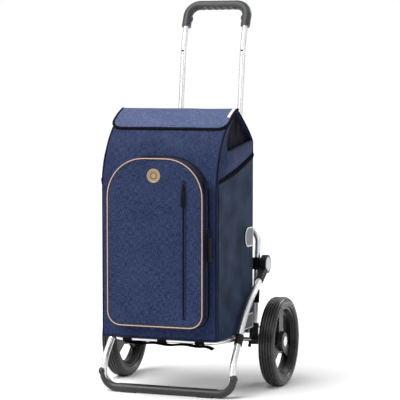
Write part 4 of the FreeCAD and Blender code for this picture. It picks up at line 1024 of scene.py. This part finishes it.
@dataclass
class SidePockets:
    """Slate pockets on both sides with their elastic bands and film patches."""

    shape: BagShape
    band_height: float = 0.011
    film_top: float = 0.451
    film_low: float = 0.397

    def span(self, u: float, side: int) -> float:
        """y across the pocket, front to back on the right and back to front on the left."""
        share = u if side > 0 else 1 - u
        return self.shape.front + 0.008 + share * (self.shape.back - self.shape.front - 0.012)

    def pocket(self, name: str, side: int) -> bpy.types.Object:
        """One slack pocket of smooth cloth.

        Args:
            name: left or right.
            side: -1 or 1.

        Returns:
            The pocket.
        """
        shape = self.shape
        low = shape.base + 0.003

        def where(u: float, v: float) -> Vector:
            y = self.span(u, side)
            top = shape.band_at(y) + 0.004
            z = low + v * (top - low)
            slack = math.sin(math.pi * u) ** 0.5
            lift = 0.0012 + 0.0035 * slack * v ** 2
            crease = ripple(Vector((y * 0.9 + z * 0.5, z * 0.6, side)), 16, 4.4)
            sag = 0.0022 * crease * slack * math.sin(math.pi * min(v + 0.1, 1))
            pull = -0.0042 * math.sin(math.pi * u) * math.sin(math.pi * v * 0.92)
            return Vector((side * (shape.half_width + 0.0008 + lift + sag + pull), y, z))

        piece = Bench.loft("side_pocket_cloth_" + name, 44, 56, where, (0.277, 0.46))
        Bench.wall(piece, 0.0014)
        return sewn(piece, "bag", "slate_fabric", SLATE, "side_pocket_" + name)

    def bands(self) -> bpy.types.Object:
        """Gathered elastic bands over both pocket mouths."""
        shape = self.shape
        made = []
        for name, side in SIDES:
            def where(u: float, v: float, side: int = side) -> Vector:
                y = self.span(u, side)
                gather = 0.0007 * math.sin(u * 2 * math.pi * 46)
                z = shape.band_at(y) - 0.001 + v * self.band_height
                slack = math.sin(math.pi * u) ** 0.5
                x = shape.half_width + 0.0030 + 0.0030 * slack + gather
                x += 0.0012 * math.sin(math.pi * v)
                return Vector((side * x, y, z))

            band = Bench.loft("band_" + name, 240, 4, where, (0.277, 0.016))
            Bench.modify(band, "SOLIDIFY", thickness=0.0018, offset=-1)
            Bench.soften(band, 60)
            made.append(band)
        piece = Bench.join("elastic_bands_gathered", made)
        return sewn(piece, "bag", "webbing", BLACK_WEB, "elastic_bands")

    def patch(self, label: str, side: int,
              outline: Sequence[tuple[float, float]]) -> bpy.types.Object:
        """Film patch with a raised border.

        Args:
            label: The patch's name.
            side: -1 or 1.
            outline: (y, z) corners.

        Returns:
            The patch.
        """
        Bench.clear()
        bpy.ops.mesh.primitive_circle_add(vertices=len(outline), fill_type="NGON")
        piece = Bench.named(label)
        x = self.shape.half_width + 0.0026
        for vertex, (y, z) in zip(piece.data.vertices, outline):
            vertex.co = Vector((side * x, y, z))
        Bench.edit(
            piece,
            lambda: bpy.ops.mesh.normals_make_consistent(inside=False),
            lambda: bpy.ops.mesh.extrude_region_move(
                TRANSFORM_OT_translate={"value": (side * 0.0012, 0, 0)}),
            lambda: bpy.ops.mesh.inset(thickness=0.0028, depth=0),
            lambda: bpy.ops.mesh.inset(thickness=0.0006, depth=0),
            lambda: bpy.ops.transform.translate(value=(-side * 0.0005, 0, 0)),
        )
        Bench.weld(piece, recalculate=True)
        Bench.soften(piece, 30)
        piece.data.materials.append(REFLECTIVE.material())
        piece.data.materials.append(PALE_STRIP.material())
        inner = [p for p in piece.data.polygons if len(p.vertices) == len(outline)]
        for polygon in piece.data.polygons:
            polygon.material_index = 0 if polygon in inner else 1
        return piece

    def patches(self) -> bpy.types.Object:
        """Round-fronted and square film patches by the back edge of both sides."""
        back, low = self.shape.back - 0.006, self.shape.base
        made = []
        for name, side in SIDES:
            middle = (self.film_top + self.film_low) / 2
            half = (self.film_top - self.film_low) / 2
            round_front = [(back, self.film_low), (back, self.film_top)]
            for step in range(13):
                turn = math.radians(90 + 180 * step / 12)
                round_front.append((0.026 + 0.022 * math.cos(turn), middle + half * math.sin(turn)))
            square = [(back, low + 0.006), (back, low + 0.048), (0.002, low + 0.048),
                      (-0.001, low + 0.044), (-0.001, low + 0.010), (0.002, low + 0.006)]
            made.append(self.patch("film_high_" + name, side, round_front))
            made.append(self.patch("film_low_" + name, side, square))
        piece = Bench.join("film_patches", made)
        return sewn(piece, "bag", "reflective", REFLECTIVE, "reflectors")

    def build(self) -> None:
        """All the pieces on the sides."""
        for name, side in SIDES:
            self.pocket(name, side)
        self.bands()
        self.patches()


@dataclass
class FrontPocket:
    """Padded pocket on the front with its piping and badge."""

    shape: BagShape
    middle: float = 0.0055
    half_width: float = 0.140
    low: float = 0.199
    high: float = 0.656
    top_radius: float = 0.108
    low_radius: float = 0.040
    face: float = -0.2575
    zip_x: float = 0.090
    swell: float = 0.0045
    frames: int = 20

    def outline(self, shrink: float = 0.0, per_corner: int = 14) -> list[tuple[float, float]]:
        """Front view of the pocket.

        Args:
            shrink: How far inside the real edge.
            per_corner: Points on each round corner.

        Returns:
            (x, z) corners, anticlockwise from low right.
        """
        corners = (
            (1, -1, self.low_radius, -90), (1, 1, self.top_radius, 0),
            (-1, 1, self.top_radius, 90), (-1, -1, self.low_radius, 180),
        )
        middle_z, half_height = (self.low + self.high) / 2, (self.high - self.low) / 2
        points = []
        for x_side, z_side, radius, start in corners:
            radius = radius - shrink
            x = self.middle + x_side * (self.half_width - shrink - radius)
            z = middle_z + z_side * (half_height - shrink - radius)
            for step in range(per_corner + 1):
                turn = math.radians(start + 90 * step / per_corner)
                points.append((x + radius * math.cos(turn), z + radius * math.sin(turn)))
        return points

    def even_outline(self, shrink: float, count: int) -> list[tuple[float, float]]:
        """The outline as points at equal steps.

        Args:
            shrink: How far inside the real edge.
            count: How many points.

        Returns:
            (x, z) points.
        """
        rough = self.outline(shrink)
        loop = rough + rough[:1]
        lengths = [0.0]
        for first, second in zip(loop, loop[1:]):
            lengths.append(lengths[-1] + math.dist(first, second))
        points, index = [], 0
        for step in range(count):
            goal = lengths[-1] * step / count
            while lengths[index + 1] < goal:
                index += 1
            run = lengths[index + 1] - lengths[index]
            share = (goal - lengths[index]) / run if run else 0
            a, b = loop[index], loop[index + 1]
            points.append((a[0] + (b[0] - a[0]) * share, a[1] + (b[1] - a[1]) * share))
        return points

    def body(self) -> bpy.types.Object:
        """Swollen pocket: a closed form that cloth simulation fills out between its seams."""
        points = self.even_outline(0.001, 180)
        Bench.clear()
        bpy.ops.mesh.primitive_circle_add(vertices=len(points), fill_type="NGON")
        piece = Bench.named("front_pocket")
        for vertex, (x, z) in zip(piece.data.vertices, points):
            vertex.co = Vector((x, self.face, z))
        depth = self.shape.front + 0.003 - self.face
        Bench.edit(
            piece,
            lambda: bpy.ops.mesh.extrude_region_move(
                TRANSFORM_OT_translate={"value": (0, depth, 0)}),
            lambda: bpy.ops.mesh.select_all(action="SELECT"),
            lambda: bpy.ops.mesh.normals_make_consistent(inside=False),
        )
        Bench.modify(piece, "REMESH", mode="VOXEL", voxel_size=0.005)
        self.fill_out(piece)
        self.sew_down(piece)
        Bench.modify(piece, "SUBSURF", levels=1, render_levels=1)
        Bench.soften(piece, 70)
        piece.data.materials.append(BLUE_POCKET.material())
        # Faces that turn sideways get the darker blue: painted shade on the pocket's gusset.
        piece.data.materials.append(BLUE_GUSSET_SHADED.material())
        for polygon in piece.data.polygons:
            polygon.material_index = int(abs(polygon.normal.y) < 0.6)
        return sewn(piece, "bag", "blue_fabric", BLUE_POCKET, "pocket_face", "pocket_gusset")

    def fill_out(self, piece: bpy.types.Object) -> None:
        """Swell the pocket like filled cloth, with its edges held.

        Args:
            piece: The remeshed pocket.
        """
        rest = [vertex.co.copy() for vertex in piece.data.vertices]
        held = piece.vertex_groups.new(name="held")
        inner = self.outline(0.008)
        front_edge = self.face + 0.006
        for vertex in piece.data.vertices:
            x, y, z = vertex.co
            on_back = y > self.shape.front - 0.004
            on_edge = y < front_edge and not inside(inner, x, z)
            on_zip = y < front_edge and abs(x - self.zip_x) < 0.006 and 0.215 < z < 0.605
            if on_back or on_edge or on_zip:
                held.add([vertex.index], 1.0, "REPLACE")
        Bench.pick(piece)
        cloth = piece.modifiers.new("Cloth", "CLOTH")
        cloth.settings.quality = 6
        cloth.settings.mass = 0.3
        cloth.settings.tension_stiffness = 12
        cloth.settings.compression_stiffness = 12
        cloth.settings.bending_stiffness = 0.6
        cloth.settings.use_pressure = True
        cloth.settings.uniform_pressure_force = 4
        cloth.settings.effector_weights.gravity = 0
        cloth.settings.vertex_group_mass = "held"
        cloth.collision_settings.use_collision = False
        cloth.point_cache.frame_start = 1
        cloth.point_cache.frame_end = self.frames
        for step in range(1, self.frames + 1):
            bpy.context.scene.frame_set(step)
        bpy.ops.object.modifier_apply(modifier=cloth.name)
        bpy.context.scene.frame_set(1)
        for vertex, start in zip(piece.data.vertices, rest):
            move = vertex.co - start
            if move.length > self.swell:
                vertex.co = start + move.normalized() * self.swell

    def sew_down(self, piece: bpy.types.Object) -> None:
        """Give the face slight creases, and pull it in along the zip and the piping.

        Args:
            piece: The pocket.
        """
        for vertex in piece.data.vertices:
            x, y, z = vertex.co
            if y > self.face + 0.006:
                continue
            crease = 0.0011 * ripple(Vector((x * 1.2, z * 0.55, 0.5)), 17, 9.3)
            crease += 0.0004 * ripple(Vector((x, z, 0.2)), 48, 2.6)
            edge = min(1.0, self.inset_of(x, z) / 0.03)
            channel = 1 - math.exp(-((x - self.zip_x) / 0.007) ** 2) * (0.218 < z < 0.602)
            lift = y - self.face
            goal = self.face + (lift + crease) * channel * edge + (1 - edge) * lift
            vertex.co.y = max(goal, self.face - 0.0042)

    def inset_of(self, x: float, z: float) -> float:
        """Rough distance of a point of the face from the pocket's edge."""
        right = self.half_width - abs(x - self.middle)
        tall = min(z - self.low, self.high - z)
        corner = self.top_radius if z > (self.low + self.high) / 2 else self.low_radius
        if right < corner and tall < corner:
            return corner - math.hypot(corner - right, corner - tall)
        return min(right, tall)

    def piping(self) -> None:
        """Cream piping in a brown tape round the front edge."""
        edge = [Vector((x, self.face + 0.0005, z)) for x, z in self.even_outline(0.0035, 150)]
        cord = Bench.tube("pocket_piping_cord", edge, 0.0018, closed=True)
        sewn(cord, "bag", "cream_piping", CREAM, "pocket_piping")
        tape = Bench.tube("pocket_piping_tape", edge, 0.0034, closed=True)
        for vertex in tape.data.vertices:
            vertex.co.y = self.face + (vertex.co.y - self.face) * 0.36
        sewn(tape, "bag", "cream_piping", BROWN)
        back_edge = [Vector((x, self.shape.front - 0.0012, z))
                     for x, z in self.even_outline(-0.0005, 120)]
        foot = Bench.tube("pocket_foot_welt", back_edge, 0.0019, closed=True)
        sewn(foot, "bag", "blue_fabric", NAVY_EDGE)

    def badge(self) -> bpy.types.Object:
        """Round metal badge with a plain ring and a dotted rim."""
        middle = Vector((0.005, -0.2605, 0.607))
        outline = [(-0.0015, 0.0001), (-0.0015, 0.0180), (-0.0010, 0.0190), (0.0010, 0.0190),
                   (0.0016, 0.0184), (0.0016, 0.0168), (0.0010, 0.0162), (0.0010, 0.0092),
                   (0.0015, 0.0088), (0.0015, 0.0074), (0.0010, 0.0070), (0.0010, 0.0001)]
        disc = Bench.turned("pocket_badge_disc", outline, Vector((0, 0, 0)), 64)
        for vertex in disc.data.vertices:
            x, y, z = vertex.co
            vertex.co = middle + Vector((y, -x, z))
        Bench.weld(disc, recalculate=True)
        disc.data.materials.append(GOLD.material())
        disc.data.materials.append(BROWN.material())
        for polygon in disc.data.polygons:
            away = (polygon.center - middle).xz.length
            if polygon.center.y < middle.y and 0.0071 < away < 0.0091:
                polygon.material_index = 1
        dots = []
        for step in range(18):
            turn = 2 * math.pi * step / 18
            spot = middle + Vector((0.0128 * math.cos(turn), -0.0011, 0.0128 * math.sin(turn)))
            Bench.clear()
            bpy.ops.mesh.primitive_uv_sphere_add(segments=10, ring_count=6, radius=0.0009,
                                                 location=spot)
            dot = Bench.named("badge_dot_%d" % step)
            dot.data.materials.append(BROWN.material())
            dots.append(dot)
        piece = Bench.join("pocket_badge_disc", [disc] + dots)
        return sewn(piece, "bag", "cream_piping", GOLD, "pocket_badge")

    def build(self) -> None:
        """All the pieces of the pocket."""
        self.body()
        self.piping()
        self.badge()


def inside(loop: Sequence[tuple[float, float]], x: float, y: float) -> bool:
    """Whether a point lies in a closed loop.

    Args:
        loop: The loop's corners.
        x: The point's first coordinate.
        y: The point's second coordinate.

    Returns:
        True where it does.
    """
    hit = False
    for (x1, y1), (x2, y2) in zip(loop, list(loop[1:]) + [loop[0]]):
        if (y1 > y) != (y2 > y) and x < (x2 - x1) * (y - y1) / (y2 - y1) + x1:
            hit = not hit
    return hit


@dataclass
class Zip:
    """A zip with its tape, coil, slider and pull; out is the way that it faces."""

    name: str
    middle: Vector
    length: float
    out: Vector
    slider_at: float
    puller_low: float
    puller_high: float
    nodes: tuple[str, str, str]
    bodies: tuple[str, str]
    pull_width: float
    # Half the tape's width; a tape wider than the zip stands as a dark band of painted shade beside
    # it.
    tape_half: float = 0.0044

    def spot(self, across: float, lift: float, height: float) -> Vector:
        """Point beside the zip's middle line."""
        sideways = Vector((0, 0, 1)).cross(self.out)
        return Vector((self.middle.x, self.middle.y, height)) + sideways * across + self.out * lift

    def slab(self, label: str, half: float, lifts: tuple[float, float],
             heights: tuple[float, float], round_off: float) -> bpy.types.Object:
        """Small block on the zip.

        Args:
            label: Its name.
            half: Half its width.
            lifts: How far its back and face stand out.
            heights: Its lower and upper end.
            round_off: Radius of its edges.

        Returns:
            The block.
        """
        a, b = self.spot(-half, lifts[0], heights[0]), self.spot(half, lifts[1], heights[1])
        low = [min(p, q) for p, q in zip(a, b)]
        high = [max(p, q) for p, q in zip(a, b)]
        return Bench.block(label, low, high, round_off)

    def track(self) -> None:
        """Tape with a lip on both sides of the coil, and the coil's two rows."""
        low, high = self.middle.z - self.length / 2, self.middle.z + self.length / 2
        tape = self.slab(self.name + "_tape", self.tape_half, (-0.0016, 0.0004),
                         (low - 0.004, high + 0.004), 0.0003)
        tape.data.materials.append(NAVY_EDGE.material())
        lips = [tape]
        for side in (-1, 1):
            points = [self.spot(side * 0.0042, 0.0004, low + (high - low) * step / 40)
                      for step in range(41)]
            lip = Bench.tube("%s_lip_%d" % (self.name, side), points, 0.0014)
            lip.data.materials.append(BLUE_POCKET.material())
            lips.append(lip)
        pitch = 0.0026
        for side in (-1, 1):
            start = low + (0 if side < 0 else pitch / 2)
            tooth = self.slab("%s_tooth_%d" % (self.name, side), 0.0009, (0.0002, 0.0014),
                              (start, start + 0.0016), 0)
            shift = self.spot(side * 0.0008, 0, 0) - self.spot(0, 0, 0)
            for vertex in tooth.data.vertices:
                vertex.co += shift
            Bench.modify(tooth, "ARRAY", count=int(self.length / pitch), use_relative_offset=False,
                         use_constant_offset=True, constant_offset_displace=(0, 0, pitch))
            tooth.data.materials.append(ZIP_BLACK.material())
            lips.append(tooth)
        piece = Bench.join(self.name + "_track", lips)
        sewn(piece, "bag", "zip_black", ZIP_BLACK, self.nodes[0])

    def slider(self) -> None:
        """Slider body with a raised bridge and two flanges."""
        z = self.slider_at
        # label, half width, how far it stands out, lower and upper end, rounding
        blocks = (
            ("_plate", 0.0038, (0.0015, 0.0029), (z - 0.006, z + 0.006), 0.0006),
            ("_bridge", 0.0012, (0.0027, 0.0037), (z - 0.0045, z + 0.0045), 0.0004),
            ("_nose", 0.0026, (0.0013, 0.0031), (z + 0.003, z + 0.0068), 0.0008),
        )
        parts = [self.slab(self.name + label, *sizes) for label, *sizes in blocks]
        piece = Bench.join(self.name + "_slider_body", parts)
        sewn(piece, self.bodies[0], "zip_metal", ZIP_METAL, self.nodes[1])

    def puller(self) -> None:
        """Moulded pull: a thin neck and a shoulder at its top and a ribbed grip below."""
        half = self.pull_width / 2
        low, high = self.puller_low, self.puller_high
        near, far = 0.0050, 0.0076 + (self.pull_width - 0.0105) * 0.9
        grip = self.slab(self.name + "_grip", half, (near - 0.0006, far + 0.0006),
                         (low, high - 0.020), 0.0012)
        neck = self.slab(self.name + "_neck", half * 0.5, (near, near + 0.0012),
                         (high - 0.022, high), 0.0005)
        shoulder = self.slab(self.name + "_shoulder", half * 0.6, (near, near + 0.0030),
                             (high - 0.022, high - 0.009), 0.0009)
        parts = [grip, neck, shoulder]
        for step in range(5):
            z = low + 0.006 + step * 0.005
            parts.append(self.slab("%s_rib_%d" % (self.name, step), half * 0.72,
                                   (far + 0.0002, far + 0.0013), (z, z + 0.0022), 0.0005))
        piece = Bench.join(self.name + "_pull", parts)
        sewn(piece, self.bodies[1], "zip_metal", ZIP_BLACK, self.nodes[2])

    def build(self) -> None:
        """The track, the slider and the pull."""
        self.track()
        self.slider()
        self.puller()


@dataclass
class Lid:
    """Padded flap over the mouth with a bound edge."""

    shape: BagShape
    half_width: float = 0.170
    back: float = -0.0535
    front: float = -0.1405
    gap: float = 0.0007
    thick: float = 0.0040
    corner: float = 0.030

    @property
    def turns(self) -> tuple[float, float]:
        """Angles of the lid's ends round the middle of the roof's curve."""
        radius = self.shape.roof_radius
        middle = self.shape.front + radius
        return math.acos((self.back - middle) / radius), math.acos((self.front - middle) / radius)

    def arc(self, share: float, lift: float) -> tuple[float, float]:
        """(y, z) down the lid, from the ridge to its front edge.

        Args:
            share: 0 at the ridge and 1 at the edge.
            lift: How far above the roof.

        Returns:
            The point.
        """
        shape = self.shape
        middle = shape.front + shape.roof_radius
        start, end = self.turns
        turn = start + (end - start) * share
        radius = shape.roof_radius + lift
        return middle + radius * math.cos(turn), shape.roof_start + radius * math.sin(turn)

    @property
    def length(self) -> float:
        """Length of the lid down its slope."""
        start, end = self.turns
        return (end - start) * self.shape.roof_radius

    def half_at(self, share: float) -> float:
        """Half width at a share of the slope; the front corners are round."""
        past = share * self.length - (self.length - self.corner)
        if past <= 0:
            return self.half_width
        return self.half_width - self.corner + math.sqrt(max(self.corner ** 2 - past ** 2, 0))

    def surface(self, across: float, share: float) -> Vector:
        """Top of the lid; across runs from -1 to 1."""
        half = self.half_at(share)
        crown = 0.0016 * (1 - across ** 2) * math.sin(math.pi * share)
        wave = 0.0010 * ripple(Vector((across * 0.17, share * 0.09, 0.3)), 15, 6.1)
        y, z = self.arc(share, self.gap + self.thick + crown + wave)
        return Vector((across * half, y, z))

    def flap(self) -> bpy.types.Object:
        """The padded flap itself."""
        piece = Bench.loft(
            "lid_flap_cloth", 64, 22,
            lambda u, v: self.surface(2 * u - 1, 1 - v * 0.999),
            (2 * self.half_width, self.length))
        Bench.wall(piece, self.thick - 0.0004)
        return sewn(piece, "lid", "blue_fabric", BLUE_LID, "lid_flap")

    def binding(self) -> bpy.types.Object:
        """Black binding folded over both ends and the front edge."""
        points = []
        for step in range(14):
            points.append(self.surface(-1, 0.02 + 0.6 * step / 13))
        for step in range(15):
            turn = math.radians(90 * step / 14)
            points.append(self.edge_spot(-1, turn))
        for step in range(1, 30):
            points.append(self.surface(-1 + 2 * step / 30, 0.999))
        for step in range(15):
            turn = math.radians(90 - 90 * step / 14)
            points.append(self.edge_spot(1, turn))
        for step in range(14):
            points.append(self.surface(1, 0.62 - 0.6 * step / 13))
        points = [point - Vector((0, 0, 0.0022)) for point in points]
        piece = Bench.tube("lid_binding", points, 0.0040)
        return sewn(piece, "lid", "webbing", BLACK_WEB)

    def edge_spot(self, side: int, turn: float) -> Vector:
        """Point on one of the round front corners, by its turn from the side."""
        past = self.corner * math.sin(turn)
        share = (self.length - self.corner + past) / self.length
        spot = self.surface(side, min(share, 0.999))
        spot.x = side * (self.half_width - self.corner + self.corner * math.cos(turn))
        return spot

    def strip(self) -> bpy.types.Object:
        """Pale film strip over the right end, near the ridge."""
        def where(u: float, v: float) -> Vector:
            spot = self.surface(0.925 + 0.048 * u, 0.56 - 0.50 * v)
            return spot + Vector((0, -0.0004, 0.0011))

        piece = Bench.loft("lid_film_strip", 6, 14, where, (0.014, 0.06))
        Bench.modify(piece, "SOLIDIFY", thickness=0.0012, offset=-1)
        Bench.soften(piece, 60)
        return sewn(piece, "lid", "reflective", PALE_STRIP)

    def build(self) -> None:
        """All the pieces of the lid."""
        self.flap()
        self.binding()
        self.strip()


# ---------------------------------------------------------------- frame dress


@dataclass
class Wheels:
    """Tyres with rounded shoulders, four ribs round the tread and sidewall rings."""

    axle_height: float = 0.125
    track: float = 0.472
    tread: float = 0.125
    seat: float = 0.100
    half: float = 0.0225
    axle_y: float = 0.1055
    rib_pitch: float = 0.008

    def outline(self) -> list[tuple[float, float]]:
        """Section of the tyre as (x, radius), all round."""
        tread, seat, half = self.tread, self.seat, self.half
        shoulder = [
            (half - 0.004, seat), (half - 0.0015, seat + 0.0015),
            (half - 0.0008, seat + 0.0045), (half - 0.0016, seat + 0.0055),
            (half - 0.0016, seat + 0.0070), (half - 0.0004, seat + 0.0080),
            (half, seat + 0.0110), (half - 0.0003, seat + 0.0135),
            (half - 0.0012, seat + 0.0142), (half - 0.0012, seat + 0.0152),
            (half - 0.0006, seat + 0.0160), (half - 0.0016, tread - 0.0052),
            (half - 0.0042, tread - 0.0022), (half - 0.0056, tread - 0.0016),
            (half - 0.0062, tread - 0.0045),
        ]
        ribs = []
        for rib in (1.5, 0.5, -0.5, -1.5):
            middle = rib * self.rib_pitch
            ribs += [(middle + 0.0028, tread - 0.0045), (middle + 0.0026, tread - 0.0012),
                     (middle + 0.0014, tread), (middle - 0.0014, tread),
                     (middle - 0.0026, tread - 0.0012), (middle - 0.0028, tread - 0.0045)]
        left = [(-x, radius) for x, radius in reversed(shoulder)]
        return shoulder + ribs + left

    def build(self) -> None:
        """One tyre on each wheel."""
        for name, side in SIDES:
            middle = Vector((side * self.track / 2, self.axle_y, self.axle_height))
            piece = Bench.turned("tyre_ring_" + name, self.outline(), middle, 112)
            sewn(piece, "wheel_" + name, "tyre", TYRE, "tyre_" + name)


@dataclass
class Trim:
    """Thumb rests of the grip, bulged ends of the rubber foot and the strap under the shelf."""

    def thumb_rests(self) -> bpy.types.Object:
        """Small swellings on the inner sides of the grip's legs."""
        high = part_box("handle_grip")[1]
        rests = []
        for name, side in SIDES:
            middle = Vector((side * (high.x - 0.0255), high.y - 0.0306, high.z - 0.052))
            Bench.clear()
            bpy.ops.mesh.primitive_uv_sphere_add(segments=20, ring_count=14, radius=0.0075,
                                                 location=middle, scale=(0.62, 1.0, 1.25))
            rest = Bench.named("thumb_rest_" + name)
            Bench.soften(rest, 60)
            rests.append(rest)
        piece = Bench.join("thumb_rests", rests)
        return sewn(piece, "frame", "grip_plastic", GRIP)

    def foot_ends(self) -> bpy.types.Object:
        """Thick lips where the rubber foot ends on the leg."""
        low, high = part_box("foot_sleeve")
        ends = []
        for name, side in SIDES:
            middle = Vector((side * (high.x - 0.0075), (low.y + high.y) / 2 - 0.0010,
                             high.z - 0.009))
            Bench.clear()
            bpy.ops.mesh.primitive_uv_sphere_add(segments=28, ring_count=18, radius=0.0118,
                                                 location=middle, scale=(0.88, 1.10, 0.98))
            end = Bench.named("foot_end_" + name)
            Bench.soften(end, 60)
            ends.append(end)
        piece = Bench.join("foot_ends", ends)
        return sewn(piece, "leg_frame", "foot_rubber", FOOT)

    def under_strap(self) -> bpy.types.Object:
        """Flat strap that hangs between the shelf loops and ends in a loose tail."""
        low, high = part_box("shelf_straps")

        def where(u: float, v: float) -> Vector:
            x = low.x + 0.004 + u * (high.x - low.x + 0.022)
            droop = 0.0035 * math.sin(u * math.pi * 3) ** 2
            tail = max(0.0, u - 0.90) / 0.10
            z = low.z - 0.0012 - droop - 0.008 * tail ** 1.4
            y = low.y + 0.002 + v * 0.020 - 0.006 * tail
            return Vector((x, y, z - 0.0015 * math.cos(v * math.pi)))

        piece = Bench.loft("shelf_strap_tail", 70, 5, where, (0.27, 0.02))
        Bench.modify(piece, "SOLIDIFY", thickness=0.0014, offset=0)
        Bench.soften(piece, 60)
        return sewn(piece, "shelf", "webbing", BLACK_WEB)

    def build(self) -> None:
        """All the trim."""
        self.thumb_rests()
        self.foot_ends()
        self.under_strap()


def dress_frame() -> None:
    """Give every solid of the frame that stays its own finish."""
    for name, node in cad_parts.items():
        for index, slot in enumerate(node.data.materials):
            finish = SLOT_FINISH.get(slot.name.split(".")[0], BLACK)
            node.data.materials[index] = finish.material()
        log.info("%s keeps its solid", name)


# ---------------------------------------------------------------- studio


# name, place, width and watts
LAMPS = (
    ("key", (-1.6, -3.6, 2.6), 1.6, 62),
    ("side", (3.6, -1.6, 2.2), 1.2, 14),
    ("back", (1.8, 3.4, 2.6), 1.4, 60),
)


@dataclass
class Studio:
    """Pale floor, soft lights and the camera."""

    place: tuple[float, float, float] = (1.8188, -4.6525, 0.8804)
    tilt: float = -4.068
    turn: float = 20.95
    lens: float = 160.96
    ambient: float = 0.34
    sky_strength: float = 2.9

    def camera(self) -> None:
        """A long lens from the front left of the trolley's right side."""
        data = bpy.data.cameras.new("camera")
        data.lens = self.lens
        data.sensor_width = 36
        data.clip_end = 100
        camera = bpy.data.objects.new("camera", data)
        camera.location = self.place
        camera.rotation_euler = (math.radians(90 + self.tilt), 0, math.radians(self.turn))
        bpy.context.scene.collection.objects.link(camera)
        bpy.context.scene.camera = camera

    def floor(self) -> None:
        """A plain pale floor."""
        Bench.clear()
        bpy.ops.mesh.primitive_plane_add(size=60)
        floor = Bench.named("floor")
        made = bpy.data.materials.new("pale_floor")
        made.use_nodes = True
        shader = made.node_tree.nodes["Principled BSDF"]
        shader.inputs["Base Color"].default_value = (0.98, 0.98, 0.98, 1)
        shader.inputs["Roughness"].default_value = 0.9
        floor.data.materials.append(made)

    def lamp(self, name: str, at: Sequence[float], size: float, power: float) -> None:
        """Soft square light that looks at the bag.

        Args:
            name: The light's name.
            at: Its place.
            size: Its width.
            power: Its strength in watts.
        """
        data = bpy.data.lights.new(name, "AREA")
        data.size = size
        data.energy = power
        lamp = bpy.data.objects.new(name, data)
        lamp.location = at
        lamp.rotation_euler = (Vector((0, 0, 0.5)) - Vector(at)).to_track_quat("-Z", "Y").to_euler()
        bpy.context.scene.collection.objects.link(lamp)

    def sky(self) -> None:
        """Broad soft light from above, the same all over the floor."""
        data = bpy.data.lights.new("sky", "SUN")
        data.energy = self.sky_strength
        data.angle = math.radians(50)
        lamp = bpy.data.objects.new("sky", data)
        lamp.rotation_euler = (math.radians(28), math.radians(-22), 0)
        bpy.context.scene.collection.objects.link(lamp)

    def surroundings(self) -> None:
        """White backdrop that lights the trolley less than it shows."""
        world = bpy.data.worlds.new("pale")
        world.use_nodes = True
        tree = Tree(world.node_tree)
        background = world.node_tree.nodes["Background"]
        background.inputs[0].default_value = (1, 1, 1, 1)
        rays = tree.put("ShaderNodeLightPath").outputs
        mirrored = tree.math("MULTIPLY", rays["Is Glossy Ray"], 0.4)
        seen = tree.math("MAXIMUM", rays["Is Camera Ray"], mirrored)
        strength = tree.span(seen, self.ambient, 1.0)
        world.node_tree.links.new(strength, background.inputs[1])
        bpy.context.scene.world = world

    def build(self) -> None:
        """Camera, floor, lights and the pale surroundings."""
        self.camera()
        self.floor()
        for name, at, size, power in LAMPS:
            self.lamp(name, at, size, power)
        self.sky()
        self.surroundings()
        bpy.context.scene.view_settings.view_transform = "Standard"


def main() -> None:
    """Build every class in order."""
    logging.basicConfig(level=logging.INFO, format="%(name)s: %(message)s")
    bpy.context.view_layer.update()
    Studio().build()
    dress_frame()
    shape = BagShape()
    BagShell(shape).build()
    SidePockets(shape).build()
    pocket = FrontPocket(shape)
    pocket.build()
    Zip("face_zip", middle=Vector((pocket.zip_x, -0.2588, 0.410)), length=0.362,
        out=Vector((0, -1, 0)), slider_at=0.583, puller_low=0.525, puller_high=0.587,
        nodes=("face_zip", "face_zip_slider", "face_zip_puller"),
        bodies=("face_slider", "face_puller"), pull_width=0.0105).build()
    Zip("gusset_zip", middle=Vector((0.1462, -0.2365, 0.411)), length=0.356,
        out=Vector((1, 0, 0)), slider_at=0.463, puller_low=0.381, puller_high=0.465,
        nodes=("gusset_zip", "gusset_zip_slider", "gusset_zip_puller"),
        bodies=("gusset_slider", "gusset_puller"), pull_width=0.0150,
        # The gusset zip's tape is much wider than the zip itself: the dark band past the zip is
        # painted shade on the gusset.
        tape_half=0.0085).build()
    Lid(shape).build()
    Wheels().build()
    Trim().build()


if __name__ == "__main__":
    main()
